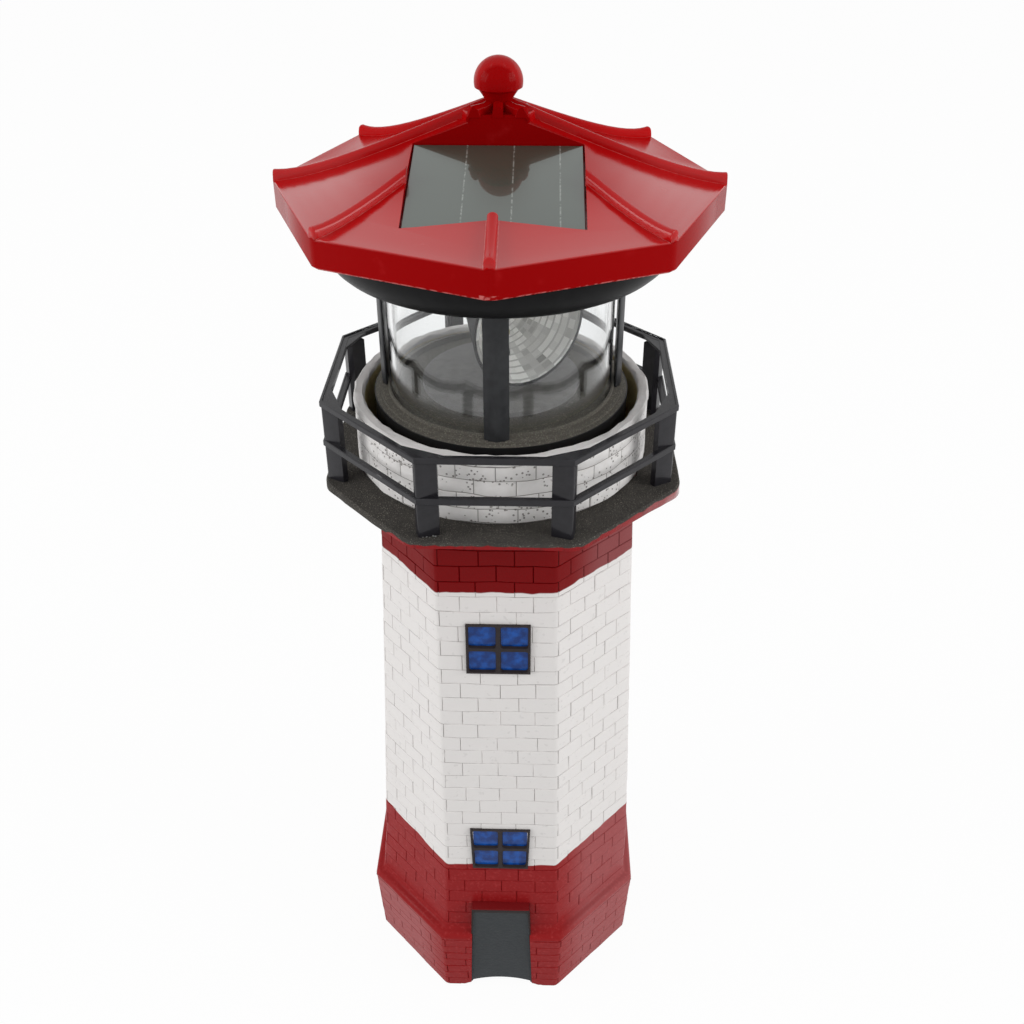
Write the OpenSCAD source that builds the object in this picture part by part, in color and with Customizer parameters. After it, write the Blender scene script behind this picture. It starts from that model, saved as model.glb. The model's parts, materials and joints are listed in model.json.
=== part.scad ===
// Garden lighthouse ornament: a hollow cast tower with a gallery, and a solar lamp that lifts out of its top.
// Millimetres. The origin is the centre of the base, +Z is up and the door faces -Y.

/* [Tower] */
// Height of the tower from the ground to the underside of the gallery slab
tower_h = 218; // [160:1:260]
// Corner radius of the octagonal wall where it meets the ground
wall_foot_r = 54.2; // [50:0.1:60]
// Least thickness of the wall beside the recess under the lamp
wall_top_t = 3.5; // [2:0.1:8]
// Half angle of the faces that look to the front, back and sides
face_half_angle = 23.6; // [21:0.1:24]
// Thickness of the cast wall, measured at the corners
wall_t = 6.5; // [4:0.1:9]
// Height at which the lower red band ends
red_band_h = 70; // [50:1:100]
// Height of the red band under the gallery
top_band_h = 23; // [10:1:40]
// Thickness of the coat of red paint
paint_t = 0.1; // [0.05:0.01:0.2]

/* [Plinth] */
// Height of the outer edge of the plinth
plinth_h = 32; // [24:1:36]
// How far the plinth's corners stand out of the wall's foot at the ground
plinth_step = 0.3; // [0.2:0.1:3]
// How much further they stand out at the plinth's upper edge
plinth_flare = 1.9; // [1.3:0.1:4]
// Height of the moulding that stands on the plinth
moulding_h = 4; // [2:0.5:6]
// How far the moulding is set back from the edge of the plinth
moulding_step = 1.2; // [0.6:0.1:1.6]
// How far the moulding leans back over its height
moulding_slope = 0.6; // [0.2:0.1:1]
// Width of the shallow arch in the bottom edge of the front
arch_w = 33; // [24:1:36]
// Height of the arch
arch_h = 5; // [2:0.5:8]

/* [Door and windows] */
// Width of the door block
door_w = 22.6; // [16:0.1:28]
// Height of the door block
door_h = 51.5; // [40:0.5:60]
// Depth of the painted door panel
door_recess = 0.5; // [0.2:0.1:1]
// Width of the rim round the door panel
door_rim = 0.9; // [0.5:0.1:2]
// Width of a window over its frame
window_w = 21; // [14:0.5:26]
// Height of a window over its frame
window_h = 20; // [14:0.5:26]
// Width of the window frame and of its glazing bars
window_bar = 1.5; // [0.8:0.1:2.5]
// How far the window frame stands out of the wall
window_proud = 0.8; // [0.4:0.1:1.5]
// Depth of the panes below the face of the frame
pane_depth = 1.1; // [0.4:0.1:2]
// Height of the centre of the lower window
window_low_z = 79.3; // [72:0.1:100]
// Height of the centre of the upper window
window_high_z = 172.5; // [130:0.1:195]

/* [Gallery] */
// Thickness of the gallery slab
slab_t = 6.5; // [4:0.5:9]
// How far the corners of the gallery slab stand out of the drum, before they are rounded
gallery_w = 15; // [13:0.1:20]
// How much the corners of the slab are rounded off
slab_corner_cut = 1.4; // [0.5:0.1:2]
// Height of the drum above the slab
drum_h = 22.6; // [16:0.1:24]
// Wall of the drum
drum_t = 3.5; // [3:0.1:6]
// Gap round the lamp base in its socket
socket_gap = 3.3; // [1.5:0.1:4]
// Width of the ledge that carries the lamp
ledge_w = 5.5; // [3:0.1:6]
// Depth of the recess under the ledge
recess_d = 8; // [7:0.5:10]
// Thickness of the floor between the recess and the hollow tower
socket_floor_t = 8; // [4:0.5:10]

/* [Railing] */
// Height of the railing above the slab
rail_h = 27.6; // [18:0.1:32]
// How far the railing's corners are set back from those of the slab
rail_set_back = 3.1; // [1.6:0.1:4]
// Half angle of the railing's front, back and side faces
rail_half_angle = 22.5; // [21:0.1:24]
// Height of a rail's section
rail_t = 2.2; // [1.2:0.1:3]
// Depth of the top rail's section
top_rail_w = 2.8; // [2.4:0.1:5]
// Depth of the middle rail's section
mid_rail_w = 2.4; // [1:0.1:3]
// Height of the underside of the middle rail above the slab
mid_rail_z = 11.6; // [8:0.1:16]
// Thickness of the bent plate that makes a post
post_t = 1.8; // [1.2:0.1:2.5]
// Width of a post's wide leg
post_wide = 6.2; // [5:0.1:9]
// Width of a post's narrow leg
post_narrow = 3.2; // [2.5:0.1:5]

/* [Lamp base] */
// Clearance between the corners of the cell's cradle and the wall of the base
cradle_clear = 1; // [0.4:0.1:3]
// How far the top flange stands out over the skirt
flange_w = 0.2; // [0:0.1:1]
// How far the top of the lamp base stands out of the drum
disc_rise = 0.6; // [0:0.1:2]
// Wall of the lamp base
base_wall = 2; // [1.2:0.1:2.2]
// Thickness of the top of the lamp base
base_top_t = 2.5; // [2:0.1:3.2]
// How far the edge of the top is stepped down
edge_step = 0.8; // [0.3:0.1:1.5]
// Height of the bottom cover above the foot of the skirt
cover_inset = 0.5; // [0.2:0.1:1]
// Thickness of the bottom cover
cover_t = 2; // [1.8:0.1:3]
// Running and assembly gap between moulded parts
gap = 0.2; // [0.1:0.05:0.3]
// Radius of the screw shanks
screw_r = 1; // [0.8:0.1:1.2]
// Radius of the screw heads
screw_head_r = 2.2; // [1.9:0.1:2.6]
// Height of the screw heads
screw_head_h = 1.6; // [1:0.1:2]
// Length of the screw shanks
screw_l = 8; // [6:0.5:10]
// How far the bottom screws are set in from the wall of the base
screw_set_in = 4.4; // [4:0.1:5]

/* [Battery and switch] */
// Radius of the rechargeable AAA cell
cell_r = 5.25; // [5:0.05:5.3]
// Length of the cell without its button
cell_l = 43.7; // [40:0.1:44]
// How far the cell's centre line is behind the axis
cell_y = 20; // [19.5:0.1:20.5]
// Wall of the cradle round the cell
cradle_t = 1.2; // [0.8:0.1:1.2]
// Thickness of the battery door
door_plate_t = 1.2; // [1:0.1:1.5]
// Width of the switch knob along its travel
knob_w = 2.6; // [2:0.1:3]
// Travel of the switch knob
switch_travel = 3; // [2:0.1:4]
// How far the knob stands out of the bottom cover
knob_proud = 1.6; // [1:0.1:1.7]

/* [Beacon drive] */
// Teeth on the gear under the turntable
gear_teeth = 36; // [34:2:36]
// Teeth on the motor pinion
pinion_teeth = 12; // [11:1:12]
// Gear module
gear_module = 0.6; // [0.56:0.01:0.6]
// Thickness of the gear
gear_t = 3; // [2:0.1:3.4]
// Radius of the motor
motor_r = 8; // [6:0.1:8]
// Height of the motor
motor_h = 10; // [7:0.1:12]
// Room between the motor and the gear above it
motor_room = 1.8; // [0.5:0.1:4]
// Radius of the motor shaft
shaft_r = 0.75; // [0.5:0.05:1]
// Radius of the turntable
turntable_r = 25; // [18:0.5:30]
// Thickness of the turntable
turntable_t = 1.6; // [1:0.1:2]
// Radius of the turntable's hollow spindle
spindle_r = 4; // [3.6:0.1:4.5]
// Radial clearance of a running shaft
running_clear = 0.06; // [0.02:0.01:0.1]
// Radius of the tube that carries the lamp's light-emitting diode
led_post_r = 2.2; // [2:0.1:2.4]

/* [Reflector] */
// Radius of the reflector's mouth
dish_r = 18.4; // [14:0.1:19.6]
// How far the mouth is in front of the turning axis
dish_front = 14; // [10:0.5:18]
// How far the bottom of the dish is behind the turning axis
dish_back = 4; // [3.5:0.5:6]
// Wall of the reflector
dish_t = 0.8; // [0.6:0.1:1.2]
// Radius of the small end of the reflector's housing
housing_back_r = 10; // [8:0.5:14]
// How far the small end of the housing is behind the turning axis
housing_back = 8; // [6.5:0.5:12]
// Wall of the housing
housing_t = 0.9; // [0.8:0.1:1.5]
// Gap between the round housing and the turntable
housing_lift = 0.3; // [0:0.1:3]
// Width of the square stand that carries the housing on the turntable
stand_w = 14; // [12:1:16]
// How far below the middle of the dish the stand ends
stand_drop = 6; // [4:0.5:8]
// Direction in which the reflector looks at rest, to the right of the front
dish_turn = 35; // [0:5:90]
// Room between the housing and the soffit above it
head_room = 0.8; // [0.5:0.1:12]

/* [Lantern] */
// How far the clear lens is set in from the wall of the lamp base
lens_set_in = 5; // [4.8:0.1:8]
// Wall of the lens
lens_t = 1.7; // [1:0.1:2.5]
// Depth of the grooves that hold the lens
lens_groove = 0.8; // [0.4:0.1:1.2]
// Width of the collar round the foot of the lens
collar_w = 0.6; // [0.4:0.1:0.8]
// Height of the collar
collar_h = 1.4; // [0.8:0.1:2]
// Width of a lantern post
cage_post_w = 7.5; // [5:0.1:9]
// Thickness of a post at its ridge
cage_post_t = 2.3; // [2.2:0.1:2.6]
// Width of the channel down the back of each post
channel_w = 2.6; // [2.4:0.1:3]
// Depth of that channel
channel_d = 1.2; // [1:0.05:1.3]
// How far the flat underside of the soffit reaches beyond the lens
soffit_w = 12; // [11:0.1:14]
// Wall of the soffit
soffit_t = 2; // [1.5:0.1:2.2]
// Height from the underside of the soffit to the lower edge of the roof
soffit_h = 13.1; // [11:0.1:16]

/* [Roof] */
// Corner radius of the roof
roof_r = 66; // [64:0.5:72]
// Height of the upright edge of the roof
fascia_h = 8.3; // [6:0.1:12]
// Slope of the upper part of the roof, as rise over run
roof_pitch = 0.44; // [0.35:0.01:0.55]
// How much the eaves flatten out
eave_flare = 6.1; // [3:0.1:6.5]
// Length over which the eaves flatten out
flare_length = 18; // [12:0.5:24]
// Wall of the roof
roof_t = 2; // [1.5:0.1:2.6]
// Width of a rib
rib_w = 3.4; // [2:0.1:5]
// Height of a rib above the roof
rib_h = 2.1; // [1:0.1:3]
// How much higher a rib curls up at its end
rib_curl = 1.2; // [0:0.1:2.5]
// Length over which a rib curls up
curl_l = 4; // [2:0.5:8]
// Radius of the ball on top
ball_r = 6.9; // [5:0.1:9]
// Height of the ball's centre above the top of the roof
ball_rise = 5.6; // [5:0.1:9]
// Radius of the flat top of the roof, which carries the neck of the ball
roof_top_r = 3.4; // [2.6:0.1:4]
// Radius of the foot of the neck
finial_foot_r = 4.2; // [3.6:0.1:5]
// Length of the spigot
spigot_l = 8; // [5:0.5:10]
// Radius of the ball's spigot in the roof
spigot_r = 2; // [1.5:0.1:2.4]

/* [Solar panel] */
// Width of the panel
panel_w = 47.4; // [40:0.1:52]
// Length of the panel down its slope
panel_l = 40.2; // [34:0.1:42]
// Thickness of the panel
panel_t = 2.5; // [2:0.1:3]
// Slope of the panel
panel_tilt = 14.6; // [12:0.1:16]
// How far the upper edge of the panel is in front of the axis
panel_back = 5.7; // [5:0.1:8]
// How far the upper edge lies below the top of the roof
panel_sink = 11.2; // [10.6:0.1:12]

/* [Hidden] */

// A small overlap that makes joined solids one, and a wider one for cutters
join = 0.5;
cut = 1;
round_fn = 96;
small_fn = 32;

// The battery stands over its door, between the two contacts
cell_gap = 0.35;
spring_l = 3.4;
spring_wire = 0.35;
contact_t = 0.5;
cell_button = 0.8;
bay_l = cell_l + cell_button + spring_l + 2 * contact_t + cell_gap;
bay_w = 2 * cell_r + 2 * cell_gap;

// Radii, from the cell outwards: its cradle just goes into the base, and the base into the drum
base_inner_r = norm([bay_l / 2 + cradle_t, cell_y + bay_w / 2 + cradle_t]) + cradle_clear;
base_r = base_inner_r + base_wall;
cover_r = base_inner_r - gap;
base_screw_ring = base_inner_r - screw_set_in;
socket_r = base_r + socket_gap;
recess_r = socket_r - ledge_w;
drum_r = socket_r + drum_t;
slab_r = drum_r + gallery_w;
rail_r = slab_r - rail_set_back;
lens_r = base_r - lens_set_in;
wall_top_r = (recess_r + wall_top_t) / cos(face_half_angle);
plinth_foot_r = wall_foot_r + plinth_step;
plinth_top_r = plinth_foot_r + plinth_flare;

// Points of the soffit's flare, from the edge of its underside outwards and upwards
soffit_flare = [[1.3, 0.7], [4.1, 4.4], [6.8, 12.2]];
soffit_r = lens_r + soffit_w;
soffit_rim_r = soffit_r + soffit_flare[2][0];

// Heights. What the base holds sets its height, and the socket is as deep
gear_drop = 2.2;
socket_d = cover_inset + cover_t + motor_h + motor_room + gear_t + gear_drop + base_top_t;
deck_z = tower_h + slab_t;
drum_z = deck_z + drum_h;
ledge_z = drum_z + disc_rise - socket_d;
base_z = ledge_z;
disc_z = drum_z + disc_rise;
cover_z = base_z + cover_inset;
cover_top = cover_z + cover_t;
base_ceiling = disc_z - base_top_t;
cell_z = cover_top + cell_gap + cell_r;
cradle_h = cell_r + cell_gap;

// The turning reflector, and the lantern that just clears it
turntable_z = disc_z + 1;
turntable_top = turntable_z + turntable_t;
housing_r = dish_r + dish_t + gap / 2 + housing_t;
dish_z = turntable_top + housing_lift + housing_r;
soffit_z = dish_z + housing_r + head_room;
eave_z = soffit_z + soffit_h;
fascia_z = eave_z + fascia_h;
apex_z = roof_surface(0);
ball_z = apex_z + ball_rise;

// Corners of an octagon whose main faces may be wider than its diagonal ones
function corners_at(half) = [for (side = [0 : 3]) each [side * 90 - half, side * 90 + half]];
corner_angles = corners_at(face_half_angle);
rail_angles = corners_at(rail_half_angle);
function wall_r(z) = wall_foot_r + (wall_top_r - wall_foot_r) * z / tower_h;
function front_y(corner_r) = corner_r * cos(face_half_angle);

// The roof's height at a corner radius: a straight slope that flattens towards the eaves
function roof_surface(corner_r) =
    fascia_z + roof_pitch * (roof_r - corner_r) - eave_flare * (1 - exp((corner_r - roof_r) / flare_length));
roof_steps = 8;
spigot_z = roof_surface(roof_top_r) - spigot_l;
glue_gap = 0.05;
tray_t = 1.6;
wire_hole_y = -panel_back - panel_l * cos(panel_tilt) / 2;
wire_hole_r = 2;
// A hair below the roof's face, where a boss or the panel's tray is trimmed, and a cutter that passes the roof
skin = 0.05;
roof_hole_h = 60;

// Battery door and its screws
door_l = bay_l + 1;
door_w_plate = bay_w + 1;
tab_w = 8;
tab_l = 4.6;
door_screw_y = cell_y - door_w_plate / 2 - 1.8;
door_boss_r = screw_r + 1.4;
door_boss_h = 5;
door_screw_l = 5;
screw_boss_r = screw_r + 1.8;
screw_pilot = 0.1;
screw_spare = 0.5;

// Circuit board, on pegs beside the light's post
board_x = [-base_inner_r + 8.7, -4];
board_y = [-5, 9];
board_t = 1.2;
board_rise = 3.5;
board_z = cover_top + board_rise;
peg_r = 1.6;
chip = [5, 4, 1.4];
chip_x = 9;
board_top = board_z + board_t;
wire_r = 0.4;
lead_r = 0.3;
lead_pitch = 1.4;

// Switch
switch_pos = [22, -12];
switch_l = 9;
switch_w = 4.6;
switch_h = 4.4;
knob_depth = 2;
knob_root = 1.8;

// Drive: the pinion is in front of the gear, tooth to gap
gear_centres = gear_module * (gear_teeth + pinion_teeth) / 2;
motor_floor = 2;
motor_nose_r = 2.8;
motor_nose_h = 1;
gear_top = base_ceiling - gear_drop;
gear_z = gear_top - gear_t;
pressure_angle = 25;
backlash = 0.16;
hub_r = spindle_r + 2;
bearing_h = 1;
post_clear = 0.3;
led_post_floor = 2;
led_post_bore = 1.4;
led_slot_w = 2.4;
led_slot_h = 1.6;
led_r = 2.5;
led_flange_r = 2.8;
led_h = 5.6;
led_top = dish_z + 2;
led_z = led_top - led_h - led_r;
post_hole_r = led_flange_r + 2 * gap;

// Lantern
lens_play = 0.1;
collar_gap = 0.1;
lens_z = disc_z - lens_groove;
lens_top = soffit_z + lens_groove - lens_play;
post_inner = lens_r + gap + collar_w + collar_gap;
cage_edge_t = 0.6;
tenon_w = 5;
tenon_t = 1.7;
roof_boss_r = 3;
roof_boss_ring = lens_r + soffit_w / 2;
roof_screw_l = 10;
tenon_fit = 0.1;
tenon_below = 1.2;

// Middle of the pair of leads in the channel of the back post
wire_out_y = post_inner + channel_d / 2;

// Octagon with its corners at the given radius and one main face to the front
module corner_polygon(angles, corner_r) {
    polygon([for (a = angles) [corner_r * sin(a), -corner_r * cos(a)]]);
}

module tower_octagon(corner_r) {
    corner_polygon(corner_angles, corner_r);
}

// Tapered octagonal block that stands on the given height
module tapered_octagon(z, h, low_r, high_r) {
    translate([0, 0, z])
        linear_extrude(h, scale = high_r / low_r) tower_octagon(low_r);
}

// Regular octagon with a corner to the front, as the roof has
module each_corner() {
    for (k = [0 : 7])
        rotate(k * 45) children();
}

// Prism of an octagonal ring between two corner radii, for a rail
module rail_ring(z, outer, width, h) {
    translate([0, 0, z])
        linear_extrude(h)
            difference() {
                corner_polygon(rail_angles, outer);
                corner_polygon(rail_angles, outer - width);
            }
}

// Tube of flat sides through the points of a route, kept from twisting by carrying one side along
function unit(v) = v / norm(v);
function run_dir(p, i) =
    i == 0 ? unit(p[1] - p[0])
    : i == len(p) - 1 ? unit(p[i] - p[i - 1])
    : unit(unit(p[i] - p[i - 1]) + unit(p[i + 1] - p[i]));
function carried_side(p, i) =
    let (d = run_dir(p, i),
         last = i > 0 ? carried_side(p, i - 1) : abs(d[2]) > 0.9 ? [1, 0, 0] : [0, 0, 1])
    unit(last - (last * d) * d);
module tube(p, r, sides) {
    last = len(p) - 1;
    frames = [for (i = [0 : last]) let (n = carried_side(p, i)) [n, cross(run_dir(p, i), n)]];
    polyhedron(
        points = [for (i = [0 : last], s = [0 : sides - 1]) let (a = s * 360 / sides)
            p[i] + r * (cos(a) * frames[i][0] + sin(a) * frames[i][1])],
        faces = concat(
            [[for (s = [0 : sides - 1]) s]],
            [for (i = [0 : last - 1], s = [0 : sides - 1]) let (a = i * sides, b = (s + 1) % sides) each
                [[a + s, a + sides + s, a + sides + b], [a + s, a + sides + b, a + b]]],
            [[for (s = [sides - 1 : -1 : 0]) last * sides + s]]));
}

// A lead with a short bend at each corner of its route
bend = 0.9;
function bent(p) = [for (i = [0 : len(p) - 1]) each
    i == 0 || i == len(p) - 1 ? [p[i]]
    : [p[i] + bend * unit(p[i - 1] - p[i]), p[i] + bend * unit(p[i + 1] - p[i])]];
module wire(points, r) {
    tube(bent(points), r, 8);
}

// Pan-head screw whose head hangs below z 0 and whose shank points up
module screw_up(length) {
    translate([0, 0, -screw_head_h]) cylinder(r = screw_head_r, h = screw_head_h, $fn = small_fn);
    translate([0, 0, -join]) cylinder(r = screw_r, h = length + join, $fn = small_fn);
}

// Spur gear outline with involute flanks and one tooth along +X
function involute(angle) = tan(angle) * 180 / PI - angle;
function flank(teeth, r) =
    90 / teeth - backlash * 45 / (PI * gear_module * teeth / 2) + involute(pressure_angle)
    - involute(acos(min(1, gear_module * teeth / 2 * cos(pressure_angle) / r)));
module gear_outline(teeth) {
    pitch_r = gear_module * teeth / 2;
    root_r = pitch_r - 1.1 * gear_module;
    tip_r = pitch_r + 0.8 * gear_module;
    low_r = max(root_r, pitch_r * cos(pressure_angle));
    radii = [root_r, low_r, pitch_r, (pitch_r + tip_r) / 2, tip_r];
    polygon([for (k = [0 : teeth - 1]) each concat(
        [for (i = [0 : 4]) let (a = k * 360 / teeth - flank(teeth, max(radii[i], low_r)))
            radii[i] * [cos(a), sin(a)]],
        [for (i = [4 : -1 : 0]) let (a = k * 360 / teeth + flank(teeth, max(radii[i], low_r)))
            radii[i] * [cos(a), sin(a)]])]);
}

// Tower and gallery

// A window in the front wall: a raised frame with four sunken panes, leaning with the wall
wall_lean = atan((front_y(wall_foot_r) - front_y(wall_top_r)) / tower_h);
module on_wall(z) {
    translate([0, -front_y(wall_r(z)), z]) rotate([-wall_lean, 0, 0]) children();
}

module window_frame(z) {
    on_wall(z)
        translate([-window_w / 2, -window_proud, -window_h / 2])
            cube([window_w, window_proud + join, window_h]);
}

module window_panes(z) {
    pane_w = (window_w - 3 * window_bar) / 2;
    pane_h = (window_h - 3 * window_bar) / 2;
    on_wall(z)
        for (x = [-1, 1], v = [-1, 1])
            translate([x * (pane_w + window_bar) / 2 - pane_w / 2, -window_proud - cut,
                       v * (pane_h + window_bar) / 2 - pane_h / 2])
                cube([pane_w, cut + pane_depth, pane_h]);
}

// The door block runs from the ground to above the plinth, flush with the plinth's front
door_set_back = 0.4;
door_y = front_y(plinth_top_r) - door_set_back;
module door_block() {
    translate([-door_w / 2 - door_rim, -door_y, 0])
        cube([door_w + 2 * door_rim, door_y - front_y(wall_top_r), door_h]);
}

module door_panel_cut() {
    translate([-door_w / 2, -door_y - cut, -cut])
        cube([door_w, door_recess + cut, door_h - 2 * door_rim + cut]);
}

// One band of the tapering wall, with its coat of paint
module wall_band(low_z, high_z, coat) {
    tapered_octagon(low_z, high_z - low_z, wall_r(low_z) + coat, wall_r(high_z) + coat);
}

module tower_casting() {
    arch_r = (arch_w * arch_w / 4 + arch_h * arch_h) / (2 * arch_h);
    moulding_r = plinth_top_r - moulding_step;
    hollow_h = ledge_z - recess_d - socket_floor_t;
    difference() {
        union() {
            color("whitesmoke") wall_band(0, tower_h + join, 0);
            color("firebrick") wall_band(0, red_band_h, paint_t);
            color("firebrick") wall_band(tower_h - top_band_h, tower_h + join, paint_t);
            color("firebrick") tapered_octagon(0, plinth_h, plinth_foot_r, plinth_top_r);
            color("firebrick")
                tapered_octagon(plinth_h - join, moulding_h + join, moulding_r, moulding_r - moulding_slope);
            color("darkslategray") door_block();
            color("royalblue") window_frame(window_low_z);
            color("royalblue") window_frame(window_high_z);
            color("dimgray")
                translate([0, 0, tower_h])
                    intersection() {
                        linear_extrude(slab_t) tower_octagon(slab_r);
                        cylinder(r = slab_r - slab_corner_cut, h = slab_t, $fn = round_fn);
                    }
            color("whitesmoke")
                translate([0, 0, deck_z - join]) cylinder(r = drum_r, h = drum_h + join, $fn = round_fn);
        }
        door_panel_cut();
        window_panes(window_low_z);
        window_panes(window_high_z);
        tapered_octagon(-cut, hollow_h + cut, wall_foot_r - wall_t, wall_r(hollow_h) - wall_t);
        translate([0, 0, ledge_z]) cylinder(r = socket_r, h = socket_d + cut, $fn = round_fn);
        translate([0, 0, ledge_z - recess_d]) cylinder(r = recess_r, h = recess_d + cut, $fn = round_fn);
        translate([0, 0, arch_h - arch_r])
            rotate([90, 0, 0]) cylinder(r = arch_r, h = plinth_top_r + cut, $fn = round_fn);
    }
}

module gallery_top_rail() {
    color("dimgray") rail_ring(deck_z + rail_h - rail_t, rail_r, top_rail_w, rail_t);
}

module gallery_mid_rail() {
    color("dimgray") rail_ring(deck_z + mid_rail_z, rail_r, mid_rail_w, rail_t);
}

// Unit vector on the ground from the axis to a corner
function corner_dir(k) = [sin(rail_angles[(k + 8) % 8]), -cos(rail_angles[(k + 8) % 8])];
// A post is a plate bent round its corner. Its wide leg is on the face that looks more to the front or back
module post_outline(k, corner_r) {
    to_next = unit(corner_dir(k + 1) - corner_dir(k));
    to_last = unit(corner_dir(k - 1) - corner_dir(k));
    wide_on_next = k % 4 == 0 || k % 4 == 3;
    next_end = to_next * (wide_on_next ? post_wide : post_narrow);
    last_end = to_last * (wide_on_next ? post_narrow : post_wide);
    outer = corner_r * corner_dir(k);
    inward = -post_t / cos(22.5) * corner_dir(k);
    next_in = inward - to_next * (inward * to_next);
    last_in = inward - to_last * (inward * to_last);
    polygon([outer, outer + next_end, outer + next_end + next_in, outer + inward,
             outer + last_end + last_in, outer + last_end]);
}

module gallery_posts() {
    color("dimgray")
    translate([0, 0, deck_z])
        linear_extrude(rail_h - rail_t)
            for (k = [0 : 7]) post_outline(k, rail_r - mid_rail_w);
}

// Lamp base

base_screw_angles = [8, 172, 234, 306];
module each_base_screw() {
    for (a = base_screw_angles)
        rotate(a) translate([base_screw_ring, 0, 0]) children();
}

module spindle_bore() {
    translate([0, 0, base_ceiling - bearing_h - cut])
        cylinder(r = spindle_r + running_clear, h = base_top_t + bearing_h + 2 * cut, $fn = round_fn);
}

module lamp_base() {
    flange_z = disc_z - base_top_t;
    color("dimgray") {
        difference() {
            union() {
                translate([0, 0, base_z]) cylinder(r = base_r, h = socket_d - edge_step, $fn = round_fn);
                translate([0, 0, flange_z])
                    cylinder(r = base_r + flange_w, h = base_top_t - edge_step, $fn = round_fn);
                translate([0, 0, flange_z]) cylinder(r = base_inner_r + gap, h = base_top_t, $fn = round_fn);
                translate([0, 0, disc_z - join])
                    cylinder(r = lens_r + gap + collar_w, h = collar_h + join, $fn = round_fn);
            }
            difference() {
                translate([0, 0, base_z - cut])
                    cylinder(r = base_inner_r, h = base_ceiling - base_z + cut, $fn = round_fn);
                each_base_screw()
                    translate([0, 0, cover_top]) cylinder(r = screw_boss_r, h = socket_d, $fn = small_fn);
                translate([0, 0, base_ceiling - bearing_h]) cylinder(r = hub_r, h = socket_d, $fn = small_fn);
            }
            each_base_screw()
                translate([0, 0, cover_top - cut])
                    cylinder(r = screw_r + screw_pilot, h = screw_l - cover_t + screw_spare + cut, $fn = small_fn);
            spindle_bore();
            translate([0, 0, lens_z])
                cylinder(r = lens_r + gap, h = lens_groove + collar_h + cut, $fn = round_fn);
            each_tenon() tenon(tenon_fit);
        }
        difference() {
            translate([0, 0, lens_z - join])
                cylinder(r = lens_r - lens_t - gap, h = lens_groove + join, $fn = round_fn);
            spindle_bore();
        }
    }
}

module base_cover() {
    bay_x = bay_l / 2 + cradle_t;
    bay_y = bay_w / 2 + cradle_t;
    switch_slot = knob_w + switch_travel + 2 * gap;
    color("darkslategray")
    difference() {
        union() {
            translate([0, 0, cover_z]) cylinder(r = cover_r, h = cover_t, $fn = round_fn);
            translate([-bay_x, cell_y - bay_y, cover_top - join])
                cube([2 * bay_x, 2 * bay_y, cradle_h + join]);
            translate([0, door_screw_y, cover_top - join])
                cylinder(r = door_boss_r, h = door_boss_h + join, $fn = small_fn);
            for (share = [0.25, 0.75])
                translate([board_x[0] + share * (board_x[1] - board_x[0]), (board_y[0] + board_y[1]) / 2,
                           cover_top - join])
                    cylinder(r = peg_r, h = board_rise + join, $fn = small_fn);
        }
        translate([-bay_l / 2, cell_y - bay_w / 2, cover_z - cut])
            cube([bay_l, bay_w, cover_t + cradle_h + 2 * cut]);
        translate([0, 0, cover_z]) door_shape(gap, door_plate_t + gap);
        translate([0, door_screw_y, cover_z - cut])
            cylinder(r = screw_r + screw_pilot, h = door_screw_l + screw_spare + cut, $fn = small_fn);
        each_base_screw()
            translate([0, 0, cover_z - cut]) cylinder(r = screw_r + gap, h = cover_t + 2 * cut, $fn = small_fn);
        translate([switch_pos[0] - switch_slot / 2, switch_pos[1] - knob_depth / 2 - gap, cover_z - cut])
            cube([switch_slot, knob_depth + 2 * gap, cover_t + 2 * cut]);
    }
}

// The plate of the battery door with its screw tab, grown by a margin
module door_shape(margin, h) {
    translate([-door_l / 2 - margin, cell_y - door_w_plate / 2 - margin, margin > 0 ? -cut : 0])
        cube([door_l + 2 * margin, door_w_plate + 2 * margin, margin > 0 ? h + cut : h]);
    translate([-tab_w / 2 - margin, cell_y - door_w_plate / 2 - tab_l - margin, margin > 0 ? -cut : 0])
        cube([tab_w + 2 * margin, tab_l + 2 * margin + join, margin > 0 ? h + cut : h]);
}

module battery_door() {
    color("darkslategray")
    translate([0, 0, cover_z])
        difference() {
            door_shape(0, door_plate_t);
            translate([0, door_screw_y, -cut]) cylinder(r = screw_r + gap, h = door_plate_t + 2 * cut, $fn = small_fn);
        }
}

module battery_door_screw() {
    color("silver") translate([0, door_screw_y, cover_z]) screw_up(door_screw_l);
}

module base_screws() {
    color("silver") each_base_screw() translate([0, 0, cover_z]) screw_up(screw_l);
}

// The cell lies along X: its button is on the right, and the spring presses on its left end
cell_x = -bay_l / 2 + contact_t + spring_l + cell_gap / 2;
module battery() {
    color("seagreen")
    translate([cell_x, cell_y, cell_z])
        rotate([0, 90, 0]) {
            cylinder(r = cell_r, h = cell_l, $fn = round_fn);
            translate([0, 0, cell_l - join]) cylinder(r = 1.8, h = cell_button + join, $fn = small_fn);
        }
}

module contact_plate(x) {
    inset = 0.6;
    translate([x, cell_y - cell_r + inset, cover_top + gap])
        cube([contact_t, 2 * (cell_r - inset), 2 * cell_r]);
}

module battery_contact() {
    color("silver") contact_plate(bay_l / 2 - contact_t);
}

// The coil starts on its plate and narrows towards the cell
module battery_spring() {
    turns = 3;
    steps = 12;
    coil_r = 3.4;
    taper = 0.25;
    weld = 0.05;
    rings = turns * steps;
    color("silver") {
        contact_plate(-bay_l / 2);
        translate([-bay_l / 2 + contact_t + spring_wire - weld, cell_y, cell_z])
            tube([for (i = [0 : rings]) let (a = i * 360 / steps, r = coil_r * (1 - taper * i / rings))
                [(spring_l - 2 * spring_wire) * i / rings, r * cos(a), r * sin(a)]], spring_wire, 6);
    }
}

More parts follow.
